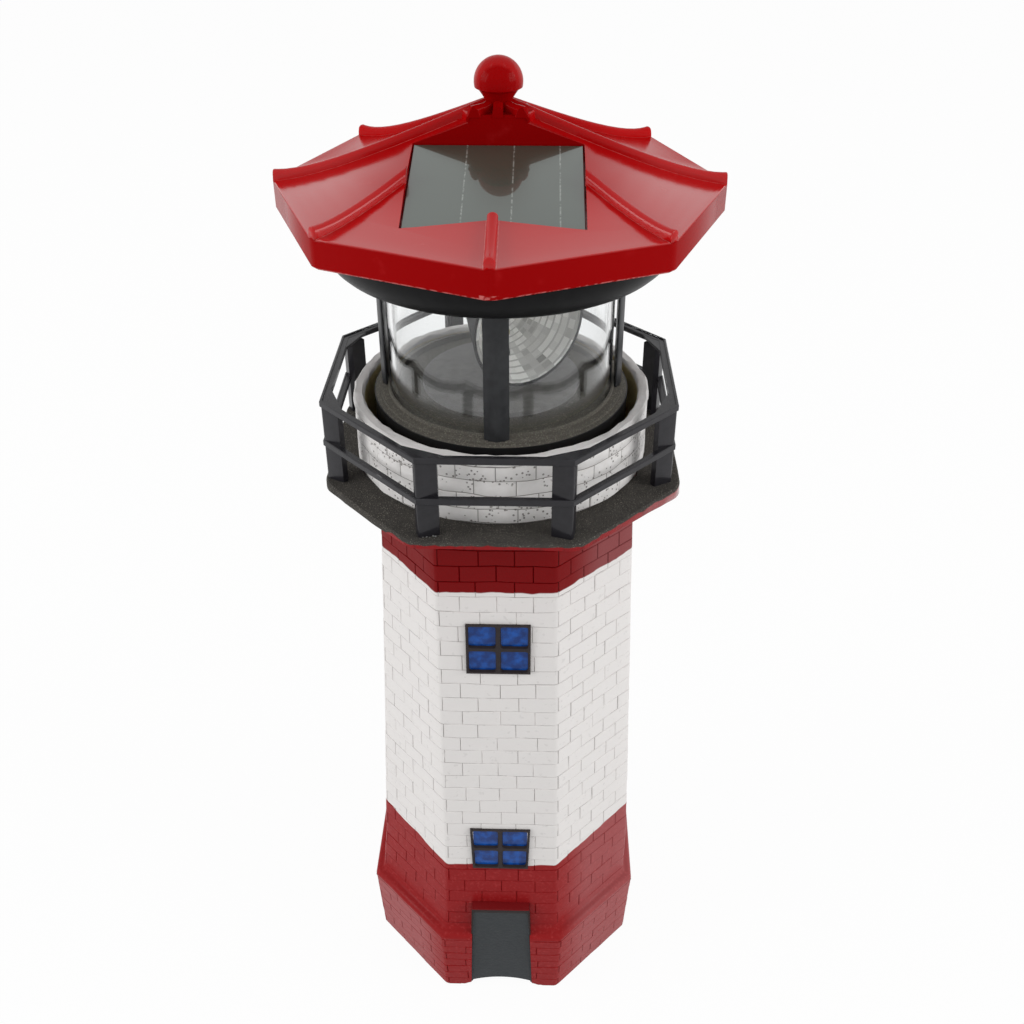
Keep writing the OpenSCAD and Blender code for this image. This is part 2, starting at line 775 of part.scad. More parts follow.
module circuit_board() {
    color("green")
        translate([board_x[0], board_y[0], board_z])
            cube([board_x[1] - board_x[0], board_y[1] - board_y[0], board_t]);
    color("black")
        translate([board_x[0] + chip_x, (board_y[0] + board_y[1] - chip[1]) / 2, board_top - skin]) cube(chip);
}

module switch_body() {
    pocket = knob_w + switch_travel + 2 * gap;
    color("silver")
    difference() {
        translate([switch_pos[0] - switch_l / 2, switch_pos[1] - switch_w / 2, cover_top])
            cube([switch_l, switch_w, switch_h]);
        translate([switch_pos[0] - pocket / 2, switch_pos[1] - knob_depth / 2 - gap, cover_top - cut])
            cube([pocket, knob_depth + 2 * gap, knob_root + gap + cut]);
    }
}

module switch_knob() {
    color("black")
        translate([switch_pos[0] - switch_travel / 2 - knob_w / 2, switch_pos[1] - knob_depth / 2, cover_z - knob_proud])
            cube([knob_w, knob_depth, knob_proud + cover_t + knob_root]);
}

// Beacon drive

module motor() {
    color("silver")
    translate([0, -gear_centres, cover_top])
        difference() {
            union() {
                cylinder(r = motor_r, h = motor_h - motor_nose_h, $fn = round_fn);
                cylinder(r = motor_nose_r, h = motor_h, $fn = small_fn);
            }
            translate([0, 0, motor_floor]) cylinder(r = shaft_r + running_clear, h = motor_h, $fn = small_fn);
        }
}

// The shaft stands on the thrust pad in the motor and reaches just past the pinion
module motor_shaft() {
    shaft_z = cover_top + motor_floor + gap;
    color("silver")
    translate([0, -gear_centres, shaft_z])
        cylinder(r = shaft_r, h = gear_top + gap - shaft_z, $fn = small_fn);
}

module motor_pinion() {
    color("white")
    translate([0, -gear_centres, gear_z])
        difference() {
            rotate(90) linear_extrude(gear_t) gear_outline(pinion_teeth);
            translate([0, 0, -cut]) cylinder(r = shaft_r, h = gear_t + 2 * cut, $fn = small_fn);
        }
}

module drive_gear() {
    color("white")
    translate([0, 0, gear_z])
        difference() {
            rotate(-90 + 180 / gear_teeth) linear_extrude(gear_t) gear_outline(gear_teeth);
            translate([0, 0, -cut]) cylinder(r = spindle_r, h = gear_t + 2 * cut, $fn = round_fn);
        }
}

// The turntable's hollow spindle turns in the base and carries the gear below it
module turntable() {
    color("darkgray")
    difference() {
        union() {
            translate([0, 0, turntable_z]) cylinder(r = turntable_r, h = turntable_t, $fn = round_fn);
            translate([0, 0, disc_z + gap / 2]) cylinder(r = hub_r, h = turntable_z - disc_z, $fn = round_fn);
            translate([0, 0, gear_z]) cylinder(r = spindle_r, h = turntable_z - gear_z + join, $fn = round_fn);
        }
        translate([0, 0, gear_z - cut])
            cylinder(r = led_post_r + post_clear, h = turntable_top - gear_z + 2 * cut, $fn = round_fn);
    }
}

module led_post() {
    color("whitesmoke")
    difference() {
        translate([0, 0, cover_top]) cylinder(r = led_post_r, h = led_z - cover_top, $fn = small_fn);
        translate([0, 0, cover_top + led_post_floor]) cylinder(r = led_post_bore, h = led_z, $fn = small_fn);
        translate([-led_post_r - cut, -led_slot_w / 2, board_top - gap])
            cube([led_post_r + cut, led_slot_w, led_slot_h]);
    }
}

module led() {
    color("lightyellow") {
        translate([0, 0, led_z]) cylinder(r = led_flange_r, h = 1, $fn = small_fn);
        translate([0, 0, led_z + join]) cylinder(r = led_r, h = led_h - join, $fn = small_fn);
        translate([0, 0, led_z + led_h]) sphere(r = led_r, $fn = small_fn);
    }
}

// Thin leads, each pair side by side

module led_leads() {
    lead_z = board_top + lead_r;
    pair_gap = 0.6;
    color("silver")
        for (s = [-1, 1])
            wire([[0, s * pair_gap, led_z], [0, s * pair_gap, lead_z], [board_x[1] - 3, s * pair_gap, lead_z]],
                 lead_r);
}

module motor_leads() {
    lead_z = board_top + wire_r;
    motor_top = cover_top + motor_h - motor_nose_h;
    tab_x = -motor_r * 0.55;
    tab_y = -gear_centres + motor_r / 2;
    color("crimson")
        for (s = [0, 1])
            wire([[tab_x - s * 1.3, tab_y, motor_top], [tab_x - s * 1.3, tab_y, motor_top + 1],
                  [-9 - s * 2, board_y[0], motor_top + 0.6], [-9 - s * 2, board_y[0] + 2, lead_z]], wire_r);
}

module battery_leads() {
    lead_z = board_top + wire_r;
    tab_z = cover_top + gap + 2 * cell_r + wire_r;
    left_x = -bay_l / 2 + contact_t / 2;
    front_y = cell_y - bay_w / 2;
    pad_y = board_y[1] - 2;
    color("crimson")
        wire([[left_x, cell_y, tab_z], [left_x, front_y - 3.4, tab_z], [left_x, pad_y, lead_z]], wire_r);
    color("black")
        wire([[-left_x, cell_y, tab_z], [-left_x, front_y - 0.4, tab_z], [-left_x - 4, front_y - 2.4, tab_z - 2],
              [-left_x / 2 - 24, front_y - 2.4, tab_z - 2], [-left_x / 2 - 24, pad_y, lead_z]], wire_r);
}

// From the panel down the channel of the back post, and over the corner of the cradle to the board
module solar_leads() {
    lead_z = board_top + wire_r;
    low_z = cover_top + cradle_h + lead_pitch;
    corner = [-bay_l / 2 - cradle_t, cell_y + bay_w / 2 + cradle_t];
    tray_z = panel_z(wire_hole_y) - panel_t / cos(panel_tilt) - gap;
    color("black")
        for (s = [-lead_pitch / 2, lead_pitch / 2])
            wire([[s, wire_hole_y, tray_z], [s, wire_hole_y, tray_z - 7], [s, wire_out_y, soffit_z + soffit_t + 3],
                  [s, wire_out_y, low_z - s], [corner[0] + 2.8, corner[1] + 2.7, low_z - s],
                  [corner[0] - 2.2, cell_y + 1, low_z - s], [board_x[0] + 1.5 + s, board_y[1] - 2, lead_z]], wire_r);
}

// Reflector: a cup on the turntable, with the light standing in its focus

// Turns a shape from its own +Z axis to the direction in which the reflector looks
module look() {
    translate([0, 0, dish_z]) rotate([0, 0, dish_turn]) rotate([90, 0, 0]) children();
}

function dish_curve(d) = dish_r * sqrt((d + dish_back) / (dish_front + dish_back));
module dish_solid(grow) {
    steps = 10;
    rotate_extrude($fn = 48)
        polygon(concat(
            [for (i = [0 : steps]) let (u = i / steps, d = -dish_back + (dish_front + dish_back) * u * u)
                [dish_curve(d) + (i == 0 ? 0 : grow), d - (i == 0 ? grow : 0)]],
            [[dish_r + grow, dish_front + (grow == 0 ? cut : 0)], [0, dish_front + (grow == 0 ? cut : 0)],
             [0, -dish_back - grow]]));
}

module reflector() {
    color("gainsboro")
    difference() {
        look()
            difference() {
                dish_solid(dish_t);
                dish_solid(0);
            }
        translate([0, 0, turntable_top]) cylinder(r = post_hole_r, h = dish_z - turntable_top, $fn = small_fn);
    }
}

module reflector_housing() {
    length = dish_front + housing_back;
    color("darkslategray")
    difference() {
        union() {
            look() translate([0, 0, -housing_back])
                cylinder(r1 = housing_back_r, r2 = housing_r, h = length, $fn = round_fn);
            rotate(dish_turn) translate([-stand_w / 2, -stand_w / 2, turntable_top])
                cube([stand_w, stand_w, dish_z - turntable_top - stand_drop]);
        }
        look() translate([0, 0, -housing_back + housing_t])
            cylinder(r1 = housing_back_r - housing_t, r2 = housing_r - housing_t, h = length, $fn = round_fn);
        look() dish_solid(dish_t + gap);
        translate([0, 0, turntable_top - cut])
            cylinder(r = post_hole_r, h = dish_z - turntable_top + cut, $fn = small_fn);
        translate([0, 0, -dish_z]) cylinder(r = turntable_r * 4, h = dish_z + turntable_top, $fn = small_fn);
    }
}

// Lantern

module lens() {
    color("lightcyan", 0.35)
    translate([0, 0, lens_z])
        difference() {
            cylinder(r = lens_r, h = lens_top - lens_z, $fn = round_fn);
            translate([0, 0, -cut]) cylinder(r = lens_r - lens_t, h = lens_top - lens_z + 2 * cut, $fn = round_fn);
        }
}

module each_tenon() {
    for (k = [0 : 3]) rotate(k * 90) children();
}

// The foot of a post stands on the base and its tenon snaps through it
module tenon(grow) {
    translate([-tenon_w / 2 - grow, -post_inner - tenon_t + tenon_fit - grow, base_ceiling - tenon_below])
        cube([tenon_w + 2 * grow, tenon_t + 2 * grow, base_top_t + tenon_below + join]);
}

module cage_post() {
    edge = post_inner + cage_edge_t;
    translate([0, 0, disc_z])
        linear_extrude(soffit_z - disc_z + join)
            polygon([[-cage_post_w / 2, -post_inner], [-cage_post_w / 2, -edge],
                     [0, -post_inner - cage_post_t], [cage_post_w / 2, -edge], [cage_post_w / 2, -post_inner]]);
    tenon(0);
}

// The wires run in a channel down the back of each post, through the soffit and the tenon
module post_channel() {
    translate([-channel_w / 2, -post_inner - channel_d, base_ceiling - tenon_below - cut])
        cube([channel_w, channel_d + gap, soffit_z + soffit_t - base_ceiling + tenon_below + 2 * cut]);
}

// The soffit is one thin bowl: its points outside, and then the same ones a wall's thickness inside
module soffit() {
    rim_top = soffit_rim_top();
    flare = [for (p = soffit_flare) [soffit_r, 0] + p];
    translate([0, 0, soffit_z])
        rotate_extrude($fn = round_fn)
            polygon(concat(
                [[0, 0], [soffit_r, 0]], flare, [[soffit_rim_r, rim_top], [soffit_rim_r - soffit_t, rim_top]],
                [for (i = [len(flare) - 1 : -1 : 1]) flare[i] + [-soffit_t, gap * i]],
                [[soffit_r - soffit_t / 2, soffit_t], [0, soffit_t]]));
}

module lantern_cage() {
    color("dimgray")
    difference() {
        union() {
            soffit();
            each_tenon() cage_post();
        }
        each_tenon() post_channel();
        translate([0, 0, soffit_z - cut])
            difference() {
                cylinder(r = lens_r + gap, h = lens_groove + cut, $fn = round_fn);
                translate([0, 0, -cut])
                    cylinder(r = lens_r - lens_t - gap, h = lens_groove + 3 * cut, $fn = round_fn);
            }
        each_roof_screw()
            translate([0, 0, soffit_z - cut]) cylinder(r = screw_r + gap, h = soffit_t + 2 * cut, $fn = small_fn);
    }
}

module each_roof_screw() {
    for (k = [0 : 3])
        rotate(45 + 90 * k) translate([roof_boss_ring, 0, 0]) children();
}

module roof_screws() {
    color("silver") each_roof_screw() translate([0, 0, soffit_z]) screw_up(roof_screw_l);
}

// Roof

// Height above the soffit at which its rim stays under the roof's faces and the tray of the panel
function soffit_rim_top() =
    min(roof_surface(soffit_rim_r / cos(22.5)) - roof_t * 1.1,
        panel_z(-panel_back - (panel_l + tray_t) * cos(panel_tilt)) - (panel_t + tray_t) * cos(panel_tilt))
    - 2 * gap - soffit_z;

// Height of the panel's face over a point in front of the axis
function panel_z(y) = apex_z - panel_sink + (y + panel_back) * tan(panel_tilt);

// Octagonal body under the roof's outer face, or under its inner one when sunk
module roof_body(sink, low_z) {
    edge = roof_r - sink / cos(22.5);
    rotate_extrude($fn = 8)
        polygon(concat(
            [[0, low_z], [edge, low_z]],
            [for (i = [0 : roof_steps]) let (r = edge + (roof_top_r - edge) * i / roof_steps)
                [r, roof_surface(min(roof_r, r)) - sink * 1.1]],
            [[0, roof_surface(roof_top_r) - sink * 1.1]]));
}

// One rib, standing on the corner line from beside the finial to the eaves, where it curls up
module rib() {
    steps = 12;
    start = finial_foot_r + 4 * gap;
    rotate([90, 0, 0])
        translate([0, 0, -rib_w / 2])
            linear_extrude(rib_w)
                polygon(concat(
                    [for (i = [0 : steps]) let (r = start + (roof_r - start) * i / steps)
                        [r, roof_surface(r) + rib_h + rib_curl * exp((r - roof_r) / curl_l)]],
                    [for (i = [steps : -1 : 0]) let (r = start + (roof_r - start) * i / steps)
                        [r, roof_surface(r) - roof_t / 2]]));
}

// A tilted box over the panel's bed, measured from the panel's face
module panel_box(margin, below, above) {
    translate([0, -panel_back, panel_z(-panel_back)])
        rotate([panel_tilt, 0, 0])
            translate([-panel_w / 2 - margin, -panel_l - margin, -below])
                cube([panel_w + 2 * margin, panel_l + 2 * margin, below + above]);
}

module roof_shell() {
    color("firebrick")
    difference() {
        union() {
            difference() {
                union() {
                    roof_body(0, eave_z);
                    each_corner() rib();
                }
                roof_body(roof_t, eave_z - cut);
            }
            intersection() {
                roof_body(skin, eave_z);
                panel_box(tray_t, panel_t + tray_t, roof_hole_h);
            }
            intersection() {
                each_roof_screw()
                    translate([0, 0, soffit_z + soffit_t])
                        cylinder(r = roof_boss_r, h = roof_hole_h, $fn = small_fn);
                roof_body(skin, soffit_z);
            }
            intersection() {
                translate([0, 0, spigot_z - 2 * cut]) cylinder(r = spigot_r + roof_t, h = roof_hole_h, $fn = small_fn);
                roof_body(skin, soffit_z);
            }
        }
        panel_box(gap, panel_t, roof_hole_h);
        each_roof_screw()
            translate([0, 0, soffit_z]) cylinder(r = screw_r + screw_pilot, h = roof_screw_l + 1, $fn = small_fn);
        translate([0, 0, spigot_z - cut]) cylinder(r = spigot_r + glue_gap, h = roof_hole_h, $fn = small_fn);
        translate([0, wire_hole_y, eave_z]) cylinder(r = wire_hole_r, h = roof_hole_h, $fn = small_fn);
    }
}

// Ball, its conical neck and the spigot that is glued into the roof
module finial() {
    neck_r = ball_r * 0.8;
    neck_drop = ball_r * 0.435;
    foot_z = roof_surface(roof_top_r);
    color("firebrick") {
        translate([0, 0, ball_z]) sphere(r = ball_r, $fn = 64);
        translate([0, 0, foot_z])
            cylinder(r1 = finial_foot_r, r2 = neck_r, h = ball_z - foot_z - neck_drop, $fn = round_fn);
        translate([0, 0, spigot_z]) cylinder(r = spigot_r, h = spigot_l + join, $fn = small_fn);
    }
}

module solar_panel() {
    color("darkslategray") panel_box(0, panel_t, 0);
}

tower_casting();
gallery_top_rail();
gallery_mid_rail();
gallery_posts();
lamp_base();
base_cover();
base_screws();
battery_door();
battery_door_screw();
battery();
battery_spring();
battery_contact();
circuit_board();
switch_body();
switch_knob();
motor();
motor_shaft();
motor_pinion();
drive_gear();
turntable();
led_post();
led();
led_leads();
motor_leads();
battery_leads();
solar_leads();
reflector_housing();
reflector();
lens();
lantern_cage();
roof_screws();
roof_shell();
finial();
solar_panel();
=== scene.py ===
# %% [markdown]
# # A garden lighthouse with a solar lamp
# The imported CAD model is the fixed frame: it says where every piece is. This lesson puts the visible surfaces over
# it. New pieces are modelled in millimetres with bmesh operators, because the real object is measured that way, and
# each is scaled to metres in one place. The boxes of the CAD nodes give the driving sizes. All that is random starts
# from one seed, so that every run gives the same object.

# %% Load the frame
import json
import math
import random

import bmesh
import bpy
from mathutils import Matrix, Vector, noise


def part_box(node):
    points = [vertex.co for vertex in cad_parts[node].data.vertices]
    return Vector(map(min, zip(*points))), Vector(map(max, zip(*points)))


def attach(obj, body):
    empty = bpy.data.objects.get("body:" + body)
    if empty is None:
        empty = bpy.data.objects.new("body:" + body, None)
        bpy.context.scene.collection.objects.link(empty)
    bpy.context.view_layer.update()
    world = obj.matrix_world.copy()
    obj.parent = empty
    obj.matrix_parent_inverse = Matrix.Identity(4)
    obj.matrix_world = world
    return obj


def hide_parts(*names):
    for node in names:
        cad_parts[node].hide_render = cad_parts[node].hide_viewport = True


MM = 0.001
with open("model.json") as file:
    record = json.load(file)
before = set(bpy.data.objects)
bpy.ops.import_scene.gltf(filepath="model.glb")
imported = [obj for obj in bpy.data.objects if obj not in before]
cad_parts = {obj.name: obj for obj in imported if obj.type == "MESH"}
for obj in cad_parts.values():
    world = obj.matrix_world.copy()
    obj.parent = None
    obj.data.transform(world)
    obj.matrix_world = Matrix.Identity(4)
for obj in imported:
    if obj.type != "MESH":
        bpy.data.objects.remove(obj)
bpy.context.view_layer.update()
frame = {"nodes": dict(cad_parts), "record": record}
SEED = 7
random.seed(SEED)
noise.seed_set(SEED)


def low(node, axis):
    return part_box(node)[0][axis] / MM


def high(node, axis):
    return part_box(node)[1][axis] / MM


DRUM_TOP = high("tower_casting", 2)
LEDGE = low("lamp_base", 2)
DISC_R = high("lamp_base", 0)
LENS_R = high("lens", 0)
SOFFIT_R = high("lantern_cage", 0)
ROOF_R = high("roof_shell", 0)
print("drum top", round(DRUM_TOP, 2), "lens radius", round(LENS_R, 2), "roof radius", round(ROOF_R, 2))

# %% [markdown]
# ## Camera
# The photograph looks down on the ornament from the front. The camera stands where the fit of straight edges and
# circles put it, a few degrees to the right of the door, and a small shift keeps the photograph's framing.

# %% Place the camera
CAMERA_HEIGHT = 419.2
CAMERA_REACH = 319.0
CAMERA_SIDE = math.radians(2.3)
CAMERA_TURN = math.radians(1.33)
CAMERA_PITCH = math.radians(32.16)
FOCAL_LENGTH, SENSOR_WIDTH = 39.59, 36
FRAME_SHIFT = (-0.0059, -0.0537)

camera_data = bpy.data.cameras.new("camera")
camera_data.lens, camera_data.sensor_width = FOCAL_LENGTH, SENSOR_WIDTH
camera_data.shift_x, camera_data.shift_y = FRAME_SHIFT
camera_data.clip_start = 0.01
camera = bpy.data.objects.new("camera", camera_data)
camera.location = (CAMERA_REACH * math.sin(CAMERA_SIDE) * MM, -CAMERA_REACH * math.cos(CAMERA_SIDE) * MM,
                   CAMERA_HEIGHT * MM)
camera.rotation_euler = (math.pi / 2 - CAMERA_PITCH, 0, CAMERA_TURN)
bpy.context.collection.objects.link(camera)
bpy.context.scene.camera = camera
bpy.context.scene.view_settings.view_transform = "Standard"
print("camera at", [round(v, 3) for v in camera.location])

# %% [markdown]
# ## Writing materials as sums
# A material is a small calculation. Each socket is wrapped in a class that knows plus, minus and times, so a mask is
# written as an expression and the Math nodes appear by themselves. Any other node comes from one method.


# %% Wrap a socket
class Value:
    """A socket that can be added, subtracted and multiplied. Each result comes out of a new Math node."""

    def __init__(self, nodes, socket):
        self.nodes = nodes
        self.socket = socket

    def sum_with(self, operation, a, b=0.0):
        return self.nodes.node("ShaderNodeMath", {"operation": operation}, {0: a, 1: b})

    def __add__(self, other):
        return self.sum_with("ADD", self, other)

    def __sub__(self, other):
        return self.sum_with("SUBTRACT", self, other)

    def __mul__(self, other):
        return self.sum_with("MULTIPLY", self, other)

    def __rsub__(self, other):
        return self.sum_with("SUBTRACT", other, self)

    __radd__ = __add__
    __rmul__ = __mul__

    def size(self):
        return self.sum_with("ABSOLUTE", self)

    def least(self, other):
        return self.sum_with("MINIMUM", self, other)

    def most(self, other):
        return self.sum_with("MAXIMUM", self, other)


# %% Build a material
def linear(red, green, blue):
    parts = [c / 255 for c in (red, green, blue)]
    return tuple(c / 12.92 if c < 0.04045 else ((c + 0.055) / 1.055) ** 2.4 for c in parts) + (1.0,)


class Nodes:
    """Adds nodes to one tree. The settings are set first, and then each socket gets its value or its link."""

    def __init__(self, tree):
        self.tree = tree

    def node(self, kind, settings=None, inputs=None, out=0):
        made = self.tree.nodes.new(kind)
        for key, value in (settings or {}).items():
            setattr(made, key, value)
        for key, value in (inputs or {}).items():
            self.join(made.inputs[key], value)
        return Value(self, made.outputs[out])

    def join(self, socket, value):
        if isinstance(value, Value):
            self.tree.links.new(value.socket, socket)
        else:
            socket.default_value = value


class Paint(Nodes):
    """A material with one shader, painted by the place on the object."""

    def __init__(self, name):
        self.material = bpy.data.materials.new(name)
        self.material.use_nodes = True
        super().__init__(self.material.node_tree)
        self.shader = self.tree.nodes["Principled BSDF"]
        self.place = self.node("ShaderNodeTexCoord", out="Object")
        print("material", name)

    def set(self, **inputs):
        for key, value in inputs.items():
            self.join(self.shader.inputs[key.replace("_", " ")], value)
        return self

    def axis(self, name):
        return self.node("ShaderNodeSeparateXYZ", {}, {0: self.place}, name)

    def radius(self):
        """The distance from the upright axis."""
        x, y = self.axis("X"), self.axis("Y")
        return self.node("ShaderNodeMath", {"operation": "SQRT"}, {0: x * x + y * y})

    def marked(self, name):
        """A value that the mesh carries in an attribute."""
        return self.node("ShaderNodeAttribute", {"attribute_name": name}, out="Fac")

    def grain(self, per_mm, detail=2.0, squash=None):
        place = self.place
        if squash:
            place = self.node("ShaderNodeMapping", {}, {"Vector": place, "Scale": squash})
        return self.node("ShaderNodeTexNoise", {}, {"Vector": place, "Scale": per_mm / MM, "Detail": detail}, "Fac")

    def pits(self, per_mm):
        return self.node("ShaderNodeTexVoronoi", {}, {"Vector": self.place, "Scale": per_mm / MM}, "Distance")

    def step(self, value, start, end):
        return self.node("ShaderNodeMapRange", {"interpolation_type": "SMOOTHSTEP"},
                         {"Value": value, "From Min": start, "From Max": end})

    def past(self, value, start, end):
        """0 up to the first place in millimetres and 1 beyond the second."""
        return self.step(value, start * MM, end * MM)

    def until(self, value, start, end):
        """1 up to the first place in millimetres and 0 beyond the second."""
        return 1 - self.past(value, start, end)

    def blend(self, share, first, second):
        return self.node("ShaderNodeMix", {"data_type": "RGBA"}, {0: share, 6: first, 7: second}, 2)

    def bump(self, height, depth_mm, strength=1.0, under=None):
        inputs = {"Height": height, "Distance": depth_mm * MM, "Strength": strength}
        if under:
            inputs["Normal"] = under
        return self.node("ShaderNodeBump", {}, inputs)


# %% [markdown]
# ## The modelling bench
# Most pieces of a lighthouse are turned or eight-sided, so one helper spins a profile of radius and height. Another
# puts the finished mesh into the scene: it scales it to metres, makes edges sharper than a limit look sharp, says
# which CAD body it rides on, and hides the CAD nodes that it stands for.


# %% Spin a profile
def spun(profile, steps, turn=0.0, ring=True):
    shape = bmesh.new()
    verts = [shape.verts.new((r * math.cos(turn), r * math.sin(turn), z)) for r, z in profile]
    ends = verts[1:] + verts[:1] if ring else verts[1:]
    edges = [shape.edges.new(pair) for pair in zip(verts, ends)]
    bmesh.ops.spin(shape, geom=verts + edges, cent=(0, 0, 0), axis=(0, 0, 1), angle=2 * math.pi, steps=steps,
                   use_merge=True)
    bmesh.ops.remove_doubles(shape, verts=shape.verts, dist=1e-4)
    bmesh.ops.recalc_face_normals(shape, faces=shape.faces)
    return shape


FACE_HALF = math.radians(23.6)
EIGHTH = math.pi / 8


def octagon(profile, ring=True, face_half=FACE_HALF):
    """An eight-sided spin. Its front, back and side faces may be a little wider than the diagonal ones."""
    shape = spun(profile, 8, -math.pi / 2 + EIGHTH, ring)
    for vert in shape.verts:
        angle = math.atan2(vert.co.y, vert.co.x)
        main = round(angle / (math.pi / 2)) * math.pi / 2
        turned = main + (angle - main) * face_half / EIGHTH
        radius = math.hypot(vert.co.x, vert.co.y)
        vert.co.x, vert.co.y = radius * math.cos(turned), radius * math.sin(turned)
    return shape


def block(size, centre):
    shape = bmesh.new()
    bmesh.ops.create_cube(shape, size=1)
    bmesh.ops.scale(shape, verts=shape.verts, vec=size)
    bmesh.ops.translate(shape, verts=shape.verts, vec=centre)
    return shape


def soften(shape, edges, width, segments):
    bmesh.ops.bevel(shape, geom=edges, offset=width, segments=segments, affect="EDGES", profile=0.5, material=-1)


def turn(shape, angle, axis):
    bmesh.ops.rotate(shape, verts=shape.verts, cent=(0, 0, 0), matrix=Matrix.Rotation(angle, 3, axis))
    return shape


def corner_edges(shape, beyond, steep):
    """The steep edges that lie further out than a radius: the upright corners of a wall or a slab."""
    return [e for e in shape.edges if min(v.co.xy.length for v in e.verts) > beyond
            and abs((e.verts[0].co - e.verts[1].co).normalized().z) > steep]


# %% Put a mesh into the scene
def piece(name, shape, body, paint, stands_for=(), smooth=35):
    bmesh.ops.scale(shape, verts=shape.verts, vec=(MM, MM, MM))
    mesh = bpy.data.meshes.new(name)
    shape.to_mesh(mesh)
    shape.free()
    made = bpy.data.objects.new(name, mesh)
    bpy.context.collection.objects.link(made)
    mesh.materials.append(paint.material)
    mesh.shade_smooth()
    mesh.set_sharp_from_angle(angle=math.radians(smooth))
    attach(made, body)
    if stands_for:
        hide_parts(*stands_for)
    print(name, len(mesh.polygons), "faces")
    return made


def cut_with(made, cutter):
    """Cuts a finished piece with a closed shape in millimetres and keeps the result as its mesh."""
    bmesh.ops.scale(cutter, verts=cutter.verts, vec=(MM, MM, MM))
    bmesh.ops.recalc_face_normals(cutter, faces=cutter.faces)
    mesh = bpy.data.meshes.new("cutter")
    cutter.to_mesh(mesh)
    cutter.free()
    tool = bpy.data.objects.new("cutter", mesh)
    bpy.context.collection.objects.link(tool)
    cut = made.modifiers.new("cut", "BOOLEAN")
    cut.object, cut.solver, cut.operation = tool, "MANIFOLD", "DIFFERENCE"
    bpy.context.view_layer.update()
    result = bpy.data.meshes.new_from_object(made.evaluated_get(bpy.context.evaluated_depsgraph_get()))
    made.modifiers.clear()
    made.data = result
    bpy.data.objects.remove(tool)


# %% [markdown]
# ## Stucco paint of the tower
# The casting is painted by hand: white in the middle, red above and below, with slightly wavy borders. The joints
# between the bricks keep some dirt, so each brick mesh carries a joint value that is 1 in the grooves. A fine bump
# gives the casting's stone-like skin. The upper red is deeper, which is partly painted shade under the slab, and a
# pale pink painted sheen lies on the sides of the plinth and on the right faces of the red bands. All of it is worked
# out from the place on the object, so that the borders run on over the corners as a brush would leave them.

# %% Paint the casting
RED_BELOW, RED_ABOVE, UPPER_RED = 70.0, 195.0, (150, 160)
BORDER_WAVE, BORDER_SOFT = 2.4, 0.25
CLIMB_FROM, CLIMB_SLOPE, CLIMB_MOST = 50, 0.145, 9
TURNED_FACES, PLINTH_EDGE = (22, 34), (31, 33)
RED = linear(146, 26, 28)
WORN_RED = linear(176, 60, 60)
DEEP_RED = linear(104, 10, 13)
# The upper band's deeper red is partly its own paint and partly painted shade under the slab.
SHADED_UPPER_RED = linear(122, 2, 5)
JOINT_RED = linear(44, 3, 5)
# A pale pink painted sheen for the plinth's sides and the right faces of the red bands.
PAINTED_SHEEN = linear(214, 178, 180)
WHITE = linear(234, 231, 229)
WHITE_JOINT = linear(126, 122, 118)


def painted_casting():
    paint = Paint("painted_casting")
    x, y = paint.axis("X"), paint.axis("Y")
    z = paint.axis("Z") + (paint.grain(0.12) - 0.5) * (BORDER_WAVE * MM)
    climb = ((y + CLIMB_FROM * MM) * (CLIMB_SLOPE + 0.3 * x)).most(0).least(CLIMB_MOST * MM)
    white = paint.past(z - climb, RED_BELOW - BORDER_SOFT, RED_BELOW + BORDER_SOFT) \
        * paint.until(z, RED_ABOVE - BORDER_SOFT, RED_ABOVE + BORDER_SOFT)
    joint = paint.step(paint.marked("joint"), 0.35, 1.0)
    wear_and_highlight = paint.step(paint.grain(0.9, 4.0), 0.5, 0.75)
    upper = paint.past(z, *UPPER_RED)
    # Above this height the red is deeper, partly as painted shade under the slab.
    red = paint.blend(upper, paint.blend(wear_and_highlight * 0.5, RED, WORN_RED), SHADED_UPPER_RED)
    patchy = paint.step(paint.grain(0.12), 0.42, 0.58).most(upper)
    red = paint.blend(joint * (0.3 + 0.6 * patchy), red, paint.blend(upper, DEEP_RED, JOINT_RED))
    # The plinth's sides and the right faces of the red bands are blended a little towards pale pink: a painted sheen.
    aside = paint.past(x.size(), *TURNED_FACES) * paint.until(z, *PLINTH_EDGE)
    right = paint.past(x, *TURNED_FACES)
    red = paint.blend(aside.most(right * (1 - joint)) * 0.14, red, PAINTED_SHEEN)
    pale = paint.blend(joint * paint.step(paint.grain(0.15), 0.3, 0.6) * 0.9, WHITE, WHITE_JOINT)
    pale = paint.blend(paint.step(paint.grain(0.5, 5.0), 0.62, 0.7) * 0.12, pale, WHITE_JOINT)
    rough = paint.grain(2.2, 3.0)
    under = paint.bump(paint.grain(0.35, 3.0), 0.25, 0.5)
    paint.set(Base_Color=paint.blend(white, red, pale), Roughness=0.42 + 0.25 * white + 0.1 * rough,
              Specular_IOR_Level=0.05, Coat_Weight=0.12 * (1 - white), Coat_Roughness=0.25,
              Normal=paint.bump(rough, 0.06, 0.6, under))
    return paint


CASTING = painted_casting()


# %% [markdown]
# ## Laying bricks
# Every brick is one patch of the wall. The profile already has a point at each course, and the faces between are
# divided into columns. Two columns make a brick, and the next course starts one column further on, which is a running
# bond. Each patch is inset by itself and pushed out, so a V-shaped joint is left round it. A patch that wraps round a
# corner of the tower keeps the corner whole.

# %% Find the courses of a wall
JOINT_HALF, JOINT_DEPTH = 0.22, 0.3
START_ANGLE = 112
LEVEL_RISE, SHORT_EDGE = 0.5, 5


def courses(low_z, high_z, height):
    count = round((high_z - low_z) / height)
    return [low_z + (high_z - low_z) * k / count for k in range(count + 1)]


